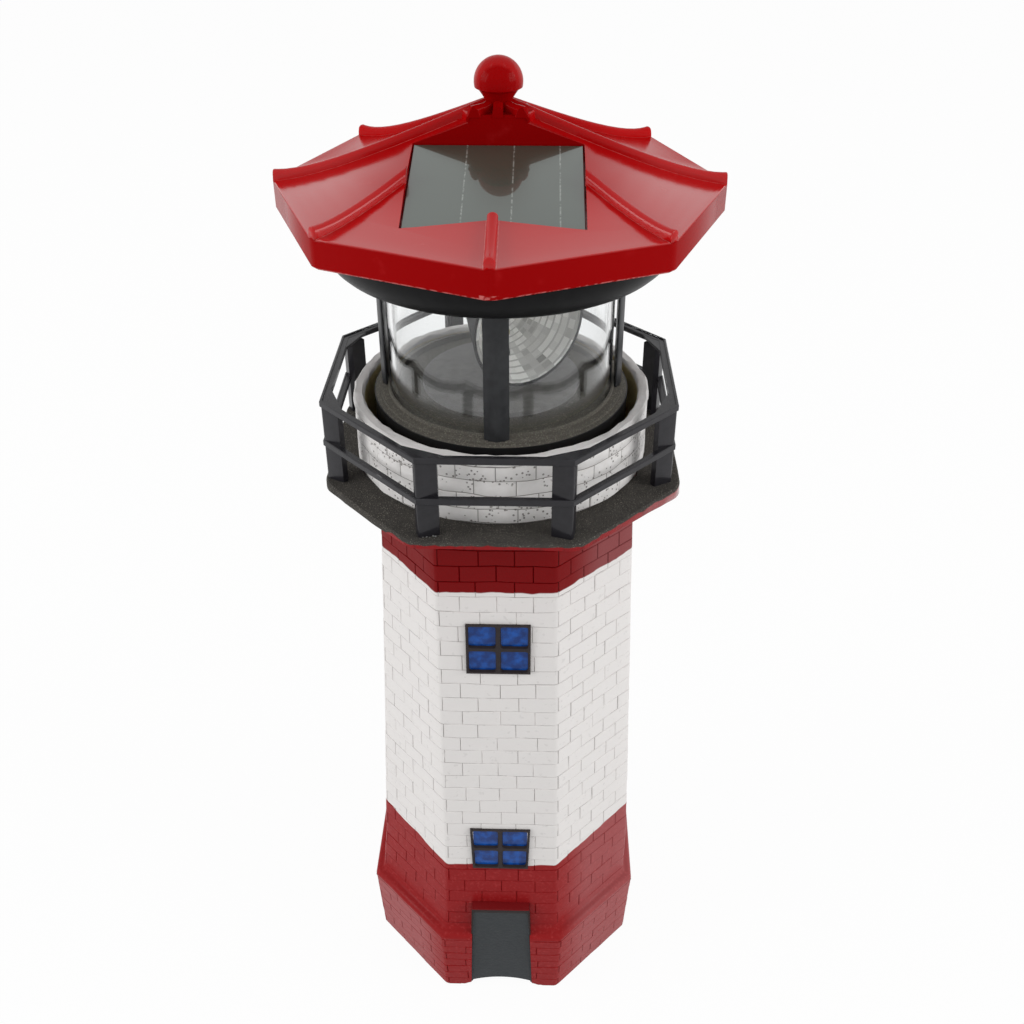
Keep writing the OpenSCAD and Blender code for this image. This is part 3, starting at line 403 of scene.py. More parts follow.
def rows_of(shape, heights):
    """The outer faces of each course, in order round the wall from just past a corner."""
    rows = [[] for _ in heights[1:]]
    for face in shape.faces:
        centre = face.calc_center_median()
        radius = math.hypot(centre.x, centre.y)
        if centre.x * face.normal.x + centre.y * face.normal.y > 0.5 * radius:
            for row, low_z, high_z in zip(rows, heights, heights[1:]):
                if low_z < centre.z < high_z:
                    row.append(face)
    for row in rows:
        row.sort(key=lambda f: (math.degrees(math.atan2(*f.calc_center_median().yx)) + START_ANGLE) % 360)
    return rows


def divide(shape, heights, cuts):
    """Cuts the level edges of the courses, and with them the faces, into equal columns."""
    level = {e for row in rows_of(shape, heights) for face in row for e in face.edges
             if abs(e.verts[0].co.z - e.verts[1].co.z) < LEVEL_RISE and e.calc_length() > SHORT_EDGE}
    bmesh.ops.subdivide_edges(shape, edges=list(level), cuts=cuts, use_grid_fill=True)


# %% Group faces into bricks and push them out
def bond(row, columns, course):
    """Shares the faces of a course out among its bricks. A narrow face at a corner goes with the one before it."""
    widest = max(face.calc_area() for face in row)
    wide = [face.calc_area() > 0.25 * widest for face in row]
    total, passed, bricks = sum(wide) // columns, -1, {}
    for face, counts in zip(row, wide):
        passed += counts
        bricks.setdefault((passed + course % 2 * columns // 2) // columns % total, []).append(face)
    return list(bricks.values())


def loosen(row, brick, shift):
    """Moves the joint before a brick a little along the wall, unless it lies on a corner."""
    first = next(f for f in brick if row[row.index(f) - 1] not in brick)
    before = row[row.index(first) - 1]
    if first.normal.dot(before.normal) > 0.98:
        along = Vector((0, 0, 1)).cross(first.normal) * random.uniform(-shift, shift)
        for vert in set(first.verts) & set(before.verts):
            vert.co += along


def lay_bricks(shape, heights, columns, shift, wave, half=JOINT_HALF):
    """Lays every course. Joints are shifted at random, and the courses rise and fall a little along the wall."""
    joint = shape.verts.layers.float.get("joint") or shape.verts.layers.float.new("joint")
    bricks = []
    rows = rows_of(shape, heights)
    for course, row in enumerate(rows):
        laid = bond(row, columns, course)
        for brick in laid:
            loosen(row, brick, shift)
        bricks += laid
    for vert in {v for row in rows for face in row for v in face.verts}:
        vert.co.z += wave * noise.noise(Vector((vert.co.x * 0.12, vert.co.y * 0.12, vert.co.z * 0.5)))
    for brick in bricks:
        bmesh.ops.inset_region(shape, faces=brick, thickness=half, depth=JOINT_DEPTH * random.uniform(0.7, 1.3),
                               use_even_offset=True, use_boundary=True)
    tops = {v for brick in bricks for face in brick for v in face.verts}
    for vert in {v for top in tops for face in top.link_faces for v in face.verts} - tops:
        vert[joint] = 1.0
    print(len(bricks), "bricks in", len(rows), "courses")


# %% [markdown]
# ## The wall
# The tower is a hollow shell with a thick wall. Its profile runs from the middle of the hollow's ceiling down the
# inside, along the ground, up the plinth with its rounded ledge, up the wall and into a pocket that holds the drum.
# Spun with eight steps it is the whole shell at once. Before the bricks are laid, the upright corners are rounded,
# because the casting's corners aren't sharp.

# %% Draw the wall's profile
WALL_FOOT, WALL_TOP, WALL_H = 54.2, 45.3, 218.0
PLINTH_FOOT, PLINTH_TOP, PLINTH_H = 54.5, 56.4, 32
PLINTH_BRICKS = courses(1.0, 31.2, 4.4)
WALL_BRICKS = courses(37.6, 217.0, 5.9)
SUNK = JOINT_DEPTH / math.cos(EIGHTH)
print("courses on the plinth and the wall:", len(PLINTH_BRICKS) - 1, len(WALL_BRICKS) - 1)


def wall_r(z):
    return WALL_FOOT + (WALL_TOP - WALL_FOOT) * z / WALL_H


def plinth_r(z):
    return PLINTH_FOOT + (PLINTH_TOP - PLINTH_FOOT) * z / PLINTH_H


def wall_profile():
    inside = [(0, 207), (39.2, 207), (47.7, 0), (PLINTH_FOOT - 0.6, 0)]
    plinth = [(plinth_r(z) - SUNK, z) for z in PLINTH_BRICKS]
    ledge = [(56.4, 31.6), (56.4, 32.4), (56.1, 33.2), (55.5, 33.9), (54.8, 34.3), (54.0, 34.6), (53.3, 35.0),
             (52.8, 35.7), (52.6, 36.6)]
    face = [(wall_r(z) - SUNK, z) for z in WALL_BRICKS]
    pocket = [(WALL_TOP, 218.4), (43.5, 218.4), (43.5, 213), (0, 213)]
    return inside + plinth + ledge + face + pocket


# %% [markdown]
# ## The openings in the wall
# The plinth has a low arch at its foot, the door stands in the front and two windows above it. Each opening is cut
# with a closed shape that is a little smaller than what fills it, so that no gap shows round a door or a window. The
# arch is a piece of a large cylinder, found from the width and the height that the arch has in the photograph.

# %% Shapes that cut the openings
ARCH_W, ARCH_H = 33.0, 5.0
ARCH_R = (ARCH_W ** 2 / 4 + ARCH_H ** 2) / (2 * ARCH_H)
DOOR_Y, DOOR_HALF, DOOR_TOP = 51.3, 10.9, 49.8
DOOR_LEAN, DOOR_SPREAD = 1.7, 0.14
DOOR_LAP, DOOR_DEPTH = 0.3, 2.3
WINDOW_W, WINDOW_H, WINDOW_PROUD, WINDOW_LAP = 21.0, 20.0, 0.8, 0.7
WINDOWS = {"window_low": 79.3, "window_high": 172.5}
CUTTER_T, ARCH_T = 20, 60


def widen(shape):
    """The door grows a little wider towards its foot."""
    for vert in shape.verts:
        vert.co.x *= 1 + DOOR_SPREAD - DOOR_SPREAD * vert.co.z / DOOR_TOP


def door_cutter():
    centre = (0, DOOR_DEPTH - DOOR_Y - CUTTER_T / 2, 0)
    shape = block((2 * (DOOR_HALF - DOOR_LAP), CUTTER_T, 2 * DOOR_TOP - 1), centre)
    widen(shape)
    return shape


def arch_cutter():
    shape = bmesh.new()
    bmesh.ops.create_cone(shape, cap_ends=True, segments=96, radius1=ARCH_R, radius2=ARCH_R, depth=ARCH_T)
    turn(shape, math.pi / 2, "X")
    bmesh.ops.translate(shape, verts=shape.verts, vec=(0, -ARCH_T / 2, ARCH_H - ARCH_R))
    return shape


def window_face(z):
    return wall_r(z) * math.cos(FACE_HALF) + WINDOW_PROUD


def window_cutter(z):
    return block((WINDOW_W - 2 * WINDOW_LAP, 8, WINDOW_H - 2 * WINDOW_LAP), (0, -window_face(z), z))


# %% [markdown]
# ## A wall that isn't regular
# In the photograph the upper end of the wall stands further in at the left than at the right. The wall is built
# regular, and then every point is shifted sideways by its height and its side, which keeps each brick whole.

# %% Settle and cut the wall
SHIFT_HIGH = ((-44, 3.3), (-18, -1.4), (18, 0), (44, 1.4))
SHIFT_LOW = ((-50, 1.0), (-20, 0.8), (20, 0), (50, 1.0))
SHOULDER, FADE_IN = 36, 8
CORNER_R, CORNER_SOFT = 44.9, 0.8
FACE_CUTS, BRICK_COLUMNS = 5, 2
BRICK_SHIFT, BRICK_WAVE = 0.9, 0.5


def shift_at(x, marks):
    """Reads a sideways shift off a list of marks, straight between one mark and the next."""
    for (x0, s0), (x1, s1) in zip(marks, marks[1:]):
        if x <= x1:
            return s0 + (s1 - s0) * max(0, x - x0) / (x1 - x0)
    return marks[-1][1]


def settle(shape):
    for vert in shape.verts:
        up = (vert.co.z - SHOULDER) / (WALL_H - SHOULDER)
        if up > 0:
            x = vert.co.x
            vert.co.x += up * shift_at(x, SHIFT_HIGH) + (1 - up) * min(1, up * FADE_IN) * shift_at(x, SHIFT_LOW)


def tower_wall():
    shape = octagon(wall_profile(), ring=False)
    corners = [e for e in corner_edges(shape, CORNER_R, 0.9)
               if e.calc_face_angle(0) > 0.6 and max(v.co.z for v in e.verts) < WALL_H]
    soften(shape, corners, CORNER_SOFT, 2)
    for heights in (PLINTH_BRICKS, WALL_BRICKS):
        divide(shape, heights, FACE_CUTS)
        lay_bricks(shape, heights, BRICK_COLUMNS, BRICK_SHIFT, BRICK_WAVE)
    settle(shape)
    return shape


wall = piece("tower_wall", tower_wall(), "tower", CASTING, ["tower_casting"])
cut_with(wall, arch_cutter())
cut_with(wall, door_cutter())
print("the wall keeps", len(wall.data.polygons), "faces")
for height in WINDOWS.values():
    cut_with(wall, window_cutter(height))

# %% [markdown]
# ## The gallery slab
# The slab is an eight-sided plate with a hole, lying on the wall: red on its side and rough dark grey on top, where
# the paint runs a little over the edge. It is spun from its section and its corners are rounded. Its edge is uneven
# as cast, its left end is shorter, and its underside rises towards the front, so its points are moved one by one.

# %% Paint the deck
DECK_EDGE, DECK_WAVE = (223.4, 223.8), 1.6
RUN_SIDE, RUN_DEPTH, SHINY_SIDE = (30, 41), 7, (30, 50)


def deck_paint():
    paint = Paint("deck")
    x = paint.axis("X")
    z = paint.axis("Z") + (paint.grain(0.25) - 0.5) * (DECK_WAVE * MM)
    top = paint.past(z + paint.past(-1 * x, *RUN_SIDE) * (RUN_DEPTH * MM), *DECK_EDGE)
    specks = paint.step(paint.grain(3.6, 3.0), 0.6, 0.68)
    grey = paint.blend(paint.grain(0.2, 3.0), linear(54, 52, 50), linear(78, 75, 71))
    grey = paint.blend(specks * 0.7, grey, linear(160, 156, 144))
    streaks = paint.step(paint.grain(0.5, 3.0, squash=(1, 1, 0.25)), 0.5, 0.7)
    red = paint.blend(streaks * 0.6, linear(142, 14, 20), DEEP_RED)
    paint.set(Base_Color=paint.blend(top, red, grey), Roughness=0.45 + 0.35 * top, Specular_IOR_Level=0.1,
              Coat_Weight=(0.15 + 0.85 * paint.past(x, *SHINY_SIDE)) * (1 - top), Coat_Roughness=0.1,
              Normal=paint.bump(paint.grain(1.6, 4.0), 0.35, 0.7))
    return paint


# %% Model the slab
SLAB_FOOT, SLAB_TOP, SLAB_HOLE = 218, 224.5, 47.5
SLAB_ROUGH, LEFT_SHORT, FRONT_THIN = 0.22, 2.2, 4.6


def share(value):
    return max(0, min(1, value))


def gallery_slab():
    side = [(60.9, SLAB_FOOT), (61.6, 218.5), (62, 219.6), (62, 223.9), (61.5, SLAB_TOP)]
    shape = octagon([(SLAB_HOLE, SLAB_FOOT)] + side + [(SLAB_HOLE, SLAB_TOP)])
    soften(shape, corner_edges(shape, 60, 0.4), 3, 4)
    bmesh.ops.subdivide_edges(shape, edges=[e for e in shape.edges if e.calc_length() > 20], cuts=12)
    for vert in shape.verts:
        if vert.co.xy.length > 55:
            vert.co += SLAB_ROUGH * noise.noise_vector(vert.co * 0.16)
            vert.co.x += LEFT_SHORT * share((-vert.co.x - 38) / 20)
            out = vert.co.xy.normalized()
            thin = share(-out.y + 0.3 * max(0, -out.x))
            vert.co.z += FRONT_THIN * thin * share((222.5 - vert.co.z) / 4.5)
    return shape


piece("gallery_slab", gallery_slab(), "tower", deck_paint(), ["tower_casting"])

# %% [markdown]
# ## The drum
# The drum is a turned ring of ivory bricks on the slab. Its profile also closes over the socket in which the lamp
# stands. It is spun with four columns to a brick, so that the bricks are round, and its rim is moved by noise,
# because it is uneven as cast. The small holes in its skin are painted and bumped: they are too many to model.

# %% Model the drum
DRUM_R, SOCKET_R, RECESS_R = 47.0, 43.5, 38.0
DRUM_BRICKS = courses(224.6, 244.6, 5.0)
DRUM_COLUMNS, DRUM_SHIFT, DRUM_WAVE, DRUM_JOINT = 4, 0.8, 0.7, 0.34
RIM_ROUGH, RIM_WAVE = 0.55, 0.4


def gallery_drum():
    stem = [(0, 213.5), (39.7, 213.5), (39.7, 218.2), (46.4, 218.2), (46.4, 224.0)]
    side = [(DRUM_R - JOINT_DEPTH, z) for z in DRUM_BRICKS]
    rim = [(DRUM_R, 245.2), (DRUM_R, 246.2), (46.4, DRUM_TOP), (45.3, DRUM_TOP), (44.3, DRUM_TOP),
           (SOCKET_R + 0.2, 246.4), (SOCKET_R, 244.5)]
    socket = [(SOCKET_R, LEDGE), (RECESS_R, LEDGE), (RECESS_R, LEDGE - 8), (0, LEDGE - 8)]
    shape = spun(stem + side + rim + socket, 96, ring=False)
    lay_bricks(shape, DRUM_BRICKS, DRUM_COLUMNS, DRUM_SHIFT, DRUM_WAVE, DRUM_JOINT)
    for vert in shape.verts:
        if vert.co.z > 244.9 and vert.co.xy.length > 43:
            push = noise.noise_vector(vert.co * 0.5) * RIM_ROUGH + noise.noise_vector(vert.co * 0.09) * RIM_WAVE
            vert.co += Vector((push.x, push.y, min(push.z, DRUM_TOP - vert.co.z)))
    return shape


# %% Paint the drum
INSIDE_R, RIM_FOOT, RIM_INSIDE = (44.3, 45), (245, 245.5), (244.5, 246.2)


def drum_paint():
    paint = Paint("ivory_drum")
    z = paint.axis("Z")
    joint = paint.step(paint.marked("joint"), 0.35, 1.0)
    holes = 1 - paint.step(paint.pits(0.75), 0.2, 0.3)
    clusters = paint.step(paint.grain(0.16, 1.0), 0.44, 0.5)
    pit = holes * clusters * paint.until(z, *RIM_FOOT)
    skin = paint.blend(paint.grain(0.3, 4.0), linear(250, 248, 247), linear(232, 229, 226))
    skin = paint.blend(joint, skin, linear(128, 124, 120))
    # The socket's inner wall is painted a darker, yellower beige than the ivory skin, which stands in for the shade
    # in the socket.
    outside = paint.past(paint.radius(), *INSIDE_R).most(paint.past(z, *RIM_INSIDE))
    colour = paint.blend(outside, linear(214, 196, 142), paint.blend(pit * 0.75, skin, linear(104, 98, 92)))
    under = paint.bump(paint.grain(0.5, 4.0), 0.3, 0.6)
    paint.set(Base_Color=colour, Roughness=0.72, Specular_IOR_Level=0.2, Normal=paint.bump(1 - pit, 0.25, 0.8, under))
    return paint


piece("gallery_drum", gallery_drum(), "tower", drum_paint(), ["tower_casting"], smooth=45)

# %% [markdown]
# ## The door
# The door is a block that runs from the arch to above the plinth. It grows a little wider towards its foot, and its
# front leans back there. A slate panel is inset in the front. The dark rim round it narrows from a millimetre at the
# top to nothing at the foot and is red along its upper edge, so the paint follows the place and not the faces.

# %% Model the door
DOOR_RIM, DOOR_STEP, DOOR_SUNK, DOOR_SOFT = 0.7, 0.25, 0.5, 0.35


def door():
    shape = block((2 * DOOR_HALF, 12, DOOR_TOP), (0, 6 - DOOR_Y, DOOR_TOP / 2))
    widen(shape)
    for vert in shape.verts:
        if vert.co.y < -DOOR_Y + 1:
            vert.co.y += DOOR_LEAN * (1 - vert.co.z / DOOR_TOP)
    soften(shape, [e for e in shape.edges if e.is_convex], DOOR_SOFT, 2)
    front = [max(shape.faces, key=lambda f: f.calc_area() * (f.normal.y < -0.9))]
    bmesh.ops.inset_region(shape, faces=front, thickness=DOOR_RIM, depth=0)
    bmesh.ops.inset_region(shape, faces=front, thickness=DOOR_STEP, depth=-DOOR_SUNK)
    return shape


def door_paint():
    paint = Paint("door")
    x, z = paint.axis("X").size(), paint.axis("Z")
    wave = (paint.grain(0.5) - 0.5) * (0.5 * MM)
    front = paint.axis("Y") + (DOOR_LEAN / DOOR_TOP) * z
    inner = paint.until(x + wave + 0.056 * z, 12.5, 12.9) * paint.until(z + wave, 46.9, 47.4) \
        * paint.until(front, DOOR_LEAN - DOOR_Y + 0.4, DOOR_LEAN - DOOR_Y + 0.7)
    slate = paint.blend(paint.grain(0.4, 3.0), linear(44, 51, 55), linear(58, 65, 68))
    rim = paint.blend(paint.past(z, 49.4, 49.7), linear(34, 24, 23), linear(112, 10, 14))
    paint.set(Base_Color=paint.blend(inner, rim, slate), Roughness=0.5, Specular_IOR_Level=0.2,
              Normal=paint.bump(paint.grain(0.9, 3.0), 0.12))
    return paint


door_piece = piece("door", door(), "tower", door_paint(), ["tower_casting"])
cut_with(door_piece, arch_cutter())

# %% [markdown]
# ## The windows
# A window is a frame with four sunken panes that stands a little proud of the wall and leans with it. A block is
# divided in four, each quarter is inset, and its corners are bevelled, so that the panes get the soft corners of a
# casting. A face attribute says which faces are panes, so that one material paints frame and glass.

# %% Model a window
LEAN = math.atan((WALL_FOOT - WALL_TOP) * math.cos(FACE_HALF) / WALL_H)
PANE_MARGIN, PANE_CORNER, PANE_STEP, PANE_SUNK = 0.85, 1.0, 0.3, 1.1
NARROW_FOOT = {"window_low": 0.07, "window_high": 0}


def window(centre_z, narrow):
    shape = block((WINDOW_W, 4, WINDOW_H), (0, 2, 0))
    glass = shape.faces.layers.float.new("pane")
    for vert in shape.verts:
        vert.co.x *= 1 + narrow * vert.co.z / WINDOW_H
    for axis in ((1, 0, 0), (0, 0, 1)):
        bmesh.ops.bisect_plane(shape, geom=shape.verts[:] + shape.edges[:] + shape.faces[:], plane_co=(0, 0, 0),
                               plane_no=axis)
    panes = [f for f in shape.faces if f.normal.y < -0.9]
    bmesh.ops.inset_individual(shape, faces=panes, thickness=PANE_MARGIN, depth=0)
    bmesh.ops.bevel(shape, geom=list({v for f in panes for v in f.verts}), offset=PANE_CORNER, segments=2,
                    affect="VERTICES", profile=0.5, material=-1)
    panes = [f for f in shape.faces if f.normal.y < -0.9 and len(f.verts) >= 8
             and abs(f.calc_center_median().x) > 2 and f.calc_area() > 30]
    bmesh.ops.inset_individual(shape, faces=panes, thickness=PANE_STEP, depth=-PANE_SUNK)
    for face in panes:
        face[glass] = 1.0
    turn(shape, -LEAN, "X")
    bmesh.ops.translate(shape, verts=shape.verts, vec=(0, -window_face(centre_z), centre_z))
    print("panes", len(panes))
    return shape


def window_paint():
    paint = Paint("window")
    pane = paint.marked("pane")
    blue = paint.blend(paint.step(paint.grain(0.35, 3.0), 0.35, 0.7), linear(5, 50, 118), linear(18, 84, 172))
    bars = paint.blend(paint.grain(0.6, 3.0), linear(36, 31, 32), linear(56, 48, 48))
    paint.set(Base_Color=paint.blend(pane, bars, blue), Roughness=0.55 - 0.3 * pane, Specular_IOR_Level=0.2,
              Coat_Weight=0.15 * pane, Normal=paint.bump(paint.grain(0.8), 0.15, 0.6))
    return paint


WINDOW = window_paint()
for name, height in WINDOWS.items():
    piece(name, window(height, NARROW_FOOT[name]), "tower", WINDOW, ["tower_casting"])

# %% [markdown]
# ## Black plastic
# The railing, the soffit and the lantern's posts are black injection-moulded plastic with a satin skin: dark, a
# little blue, and with a fine grain that breaks up the highlight. One function makes each of the plain plastics and
# metals from a colour, a roughness and a grain.


# %% Plain finishes
DULL = 0.72


def plain(name, colour, roughness, metallic=0.0, grain=1.2, depth=0.05, coat=0.0, specular=0.5):
    paint = Paint(name)
    dull = tuple(c * DULL for c in colour[:3]) + (1.0,)
    skin = paint.blend(paint.step(paint.grain(grain * 0.3, 3.0), 0.3, 0.8), colour, dull)
    paint.set(Base_Color=skin, Roughness=roughness - 0.06 + 0.12 * paint.grain(grain), Metallic=metallic,
              Coat_Weight=coat, Specular_IOR_Level=specular, Normal=paint.bump(paint.grain(grain * 2), depth, 0.6))
    return paint


RAIL = plain("dark_rail", linear(38, 37, 41), 0.34, depth=0.08, coat=0.3, specular=0.15)
BLACK = plain("black_plastic", linear(24, 24, 25), 0.38, specular=0.08)
# The lantern's posts are the same black plastic as the soffit; their lighter black is a painted highlight.
HIGHLIT_POST_BLACK = plain("post_black_highlit", linear(50, 51, 53), 0.35, specular=0.2)
CONE = plain("dark_plastic", linear(22, 22, 26), 0.6, specular=0.05)
GREY = plain("grey_plastic", linear(128, 126, 124), 0.5)


# %% [markdown]
# ## The rails
# Each rail is an eight-sided ring, so it is spun from the outline of its section. The top rail has a low step along
# its outer edge, as the photograph shows, and the thin middle rail runs outside the posts.

# %% Rails
RAIL_R, RAIL_EDGE = 58.9, 0.3
RAIL_ANGLES = [side * 90 + half for side in range(4) for half in (-22.5, 22.5)]
RAILS = {"top_rail": ("gallery_top_rail", 2.8, 0.4), "mid_rail": ("gallery_mid_rail", 2.4, 0.15)}


def rail(node, width, lip):
    low_z, high_z, inner, e = low(node, 2), high(node, 2), RAIL_R - width, RAIL_EDGE
    return octagon([(inner, low_z + e), (inner + e, low_z), (RAIL_R - e, low_z), (RAIL_R, low_z + e),
                    (RAIL_R, high_z - e), (RAIL_R - e, high_z), (RAIL_R - width * 0.3, high_z),
                    (RAIL_R - width * 0.38, high_z - lip), (inner + e, high_z - lip), (inner, high_z - lip - e)],
                   face_half=EIGHTH)


for name, (node, width, lip) in RAILS.items():
    piece(name, rail(node, width, lip), "tower", RAIL, [node])

# %% [markdown]
# ## The posts of the railing
# A post is a plate bent round its corner, with one leg longer than the other. Its outline is drawn from above and
# extruded upwards, and its ridge is rounded. A thin three-cornered web fills each corner of the top rail. Both are
# made the same way, so one helper extrudes an outline, and another gathers the eight into one mesh.


# %% Extrude an outline
def verts_of(geom):
    return [g for g in geom if isinstance(g, bmesh.types.BMVert)]


def extruded(outline, low_z, high_z):
    shape = bmesh.new()
    face = shape.faces.new([shape.verts.new((x, y, low_z)) for x, y in outline])
    made = verts_of(bmesh.ops.extrude_face_region(shape, geom=[face])["geom"])
    bmesh.ops.translate(shape, verts=made, vec=(0, 0, high_z - low_z))
    bmesh.ops.recalc_face_normals(shape, faces=shape.faces)
    return shape


def gathered(parts):
    """Joins closed shapes into one mesh."""
    whole = bmesh.new()
    for part in parts:
        mesh = bpy.data.meshes.new("part")
        part.to_mesh(mesh)
        part.free()
        whole.from_mesh(mesh)
        bpy.data.meshes.remove(mesh)
    return whole


# %% Posts
POST_FOOT, POST_TOP = low("gallery_posts", 2), high("gallery_posts", 2)
POST_T, WIDE, NARROW, FALL_BACK = 1.8, 6.2, 3.2, 1.9


def unit(angle):
    return Vector((math.sin(math.radians(angle)), -math.cos(math.radians(angle)), 0))


def corner_units(k):
    """Points to a corner of the railing and to the next ones on both sides."""
    return (unit(RAIL_ANGLES[(k + step) % 8]) for step in (0, 1, -1))


def post(k):
    """Its legs fall back from the rail a little towards their ends."""
    here, after, before = corner_units(k)
    wide_after = k % 4 in (0, 3)
    corner = here * (RAIL_R - 0.1)
    legs = []
    for other, leg in ((after, WIDE if wide_after else NARROW), (before, NARROW if wide_after else WIDE)):
        inward = -(here + other).normalized()
        end = corner + (other - here).normalized() * leg + inward * FALL_BACK
        legs.append((end, end + inward * POST_T))
    (a, a_in), (b, b_in) = legs
    points = [corner, a, a_in, corner - here * (POST_T / math.cos(EIGHTH)), b_in, b]
    shape = extruded([p.xy for p in points], POST_FOOT, POST_TOP)
    ridge = [e for e in shape.edges if all((v.co.xy - corner.xy).length < 0.01 for v in e.verts)]
    soften(shape, ridge, 0.9, 3)
    return shape


piece("rail_posts", gathered([post(k) for k in range(8)]), "tower", RAIL, ["gallery_posts"])

# %% Webs in the corners of the top rail
WEB_TOP, WEB_T, WEB_L = high("gallery_top_rail", 2) - 0.5, 0.9, 11


def web(k):
    here, after, before = corner_units(k)
    corner = here * (RAIL_R - 1.2)
    ends = [corner + (other - here).normalized() * WEB_L for other in (after, before)]
    return extruded([p.xy for p in (corner, *ends)], WEB_TOP - WEB_T, WEB_TOP)


piece("rail_webs", gathered([web(k) for k in range(8)]), "tower", RAIL, ["gallery_top_rail"])

# %% [markdown]
# ## Glue
# The posts are glued to the deck, and at two of the feet the glue dried in crumbs that show in the photograph. Each
# crumb is a small lumpy ball, flattened onto the deck. They are scattered at random from a fixed seed, so that every
# run makes the same ones.

# %% Scatter crumbs of glue
CRUMBS, CRUMB_REACH, CRUMB_R = 22, 1.5, 0.26
CRUMBED_FEET = ((-22.5, 1.2), (67.5, -3))


def crumbs(places, count, reach, size):
    parts = []
    for centre in places:
        for _ in range(count):
            part = bmesh.new()
            bmesh.ops.create_icosphere(part, subdivisions=2, radius=size * random.uniform(0.5, 1.2))
            for vert in part.verts:
                vert.co *= 1 + 0.5 * noise.noise(vert.co * 3 + Vector((len(parts), 0, 0)))
                vert.co.z *= 0.6
            aside = Vector((random.gauss(0, reach), random.gauss(0, reach * 0.5), 0))
            bmesh.ops.translate(part, verts=part.verts, vec=centre + aside)
            parts.append(part)
    return gathered(parts)


GLUE = Paint("glue")
GLUE.set(Base_Color=GLUE.blend(GLUE.grain(1.5), linear(150, 150, 146), linear(92, 94, 96)), Roughness=0.3)
feet = [unit(angle) * (RAIL_R - 1.2) + Vector((aside, 0, POST_FOOT + 0.1)) for angle, aside in CRUMBED_FEET]
piece("deck_glue", crumbs(feet, CRUMBS, CRUMB_REACH, CRUMB_R), "tower", GLUE, ["tower_casting"],
      smooth=60)

# %% [markdown]
# ## The lantern
# Four posts of V section stand round the clear lens and carry the soffit, a shallow bowl under the roof. The soffit
# is turned with a smooth flare. A post is a V-shaped outline drawn once, extruded and turned into the other three.

# %% Soffit and posts
SOFFIT_Z = high("lens", 2) - 0.7
POST_W, POST_INNER, POST_RIDGE, POST_EDGE = 7.5, LENS_R + 0.9, LENS_R + 3.2, LENS_R + 1.5
RIM_TOP = high("lantern_cage", 2)
BOWL_W, BOWL_H = 6.8, 12.2
DISC_Z = DRUM_TOP + 0.6


def soffit():
    flare = []
    for t in (0.12, 0.25, 0.4, 0.55, 0.7, 0.85, 1.0):
        angle = t * math.pi / 2
        r = SOFFIT_R - BOWL_W + BOWL_W * math.sin(angle) ** 1.15
        flare.append((r, SOFFIT_Z + BOWL_H * (1 - math.cos(angle))))
    outside = [(0, SOFFIT_Z), (SOFFIT_R - 7.6, SOFFIT_Z), (SOFFIT_R - 6.6, SOFFIT_Z + 0.15)] + flare
    inside = [(SOFFIT_R - 2, RIM_TOP), (SOFFIT_R - 2.2, SOFFIT_Z + 12), (SOFFIT_R - 8, SOFFIT_Z + 2),
              (0, SOFFIT_Z + 2)]
    return spun(outside + [(SOFFIT_R, RIM_TOP)] + inside, 128, ring=False)


def cage_posts():
    half = POST_W / 2
    outline = [(-half, -POST_INNER), (-half, -POST_EDGE), (0, -POST_RIDGE), (half, -POST_EDGE), (half, -POST_INNER)]
    shape = extruded(outline, DISC_Z, SOFFIT_Z + 0.5)
    soften(shape, [e for e in shape.edges if abs(e.verts[0].co.z - e.verts[1].co.z) > 5], 0.35, 2)
    one = shape.verts[:] + shape.edges[:] + shape.faces[:]
    for quarter in (1, 2, 3):
        again = verts_of(bmesh.ops.duplicate(shape, geom=one)["geom"])
        bmesh.ops.rotate(shape, verts=again, cent=(0, 0, 0), matrix=Matrix.Rotation(quarter * math.pi / 2, 3, "Z"))
    return shape


piece("soffit", soffit(), "lamp", BLACK, ["lantern_cage"])
# The posts get the lighter black, which is a painted highlight.
piece("cage_posts", cage_posts(), "lamp", HIGHLIT_POST_BLACK, ["lantern_cage"])

# %% [markdown]
# ## The clear lens
# The lens is a thick clear tube. It is modelled with its true wall, because the bright upright streaks at its sides
# come from light that runs along the wall. A tube is the simplest thing to spin: its section is one closed ring.

# %% Model the lens
LENS_T, LENS_EDGE = 1.7, 0.15


def lens():
    low_z, high_z, inner, e = low("lens", 2), high("lens", 2), LENS_R - LENS_T, LENS_EDGE
    return spun([(inner, low_z), (LENS_R, low_z), (LENS_R, high_z - e), (LENS_R - e, high_z), (inner + e, high_z),
                 (inner, high_z - e)], 128)


def clear_plastic():
    paint = Paint("clear_plastic")
    paint.set(Base_Color=(0.97, 0.98, 0.98, 1), Roughness=0.02, IOR=1.49, Transmission_Weight=1.0)
    return paint


piece("lens_tube", lens(), "lamp", clear_plastic(), ["lens"])

# %% [markdown]
# ## The reflector
# The dish isn't smooth: it is stamped in rings of small flat mirrors, so that each patch shows another grey. Its
# profile climbs in steps, and every face gets its own brightness in a face attribute: these greys are painted
# reflections, because the dish's material is not metallic. The housing is a dark cone round it. Both are spun upright
# and then turned to look to the right of the front. The light's fixed post stands in the axis, so a hole is cut for
# it through the lower side of both.

# %% Aim the reflector
DISH_R, DISH_FRONT, DISH_BACK, CONE_R = 18.4, 14.0, 4.0, 20.2
DISH_Z = high("turntable", 2) + 0.3 + CONE_R
DISH_TURN = math.radians(35)
DISH_SHIFT = Vector((1.2, 4.6, 0))


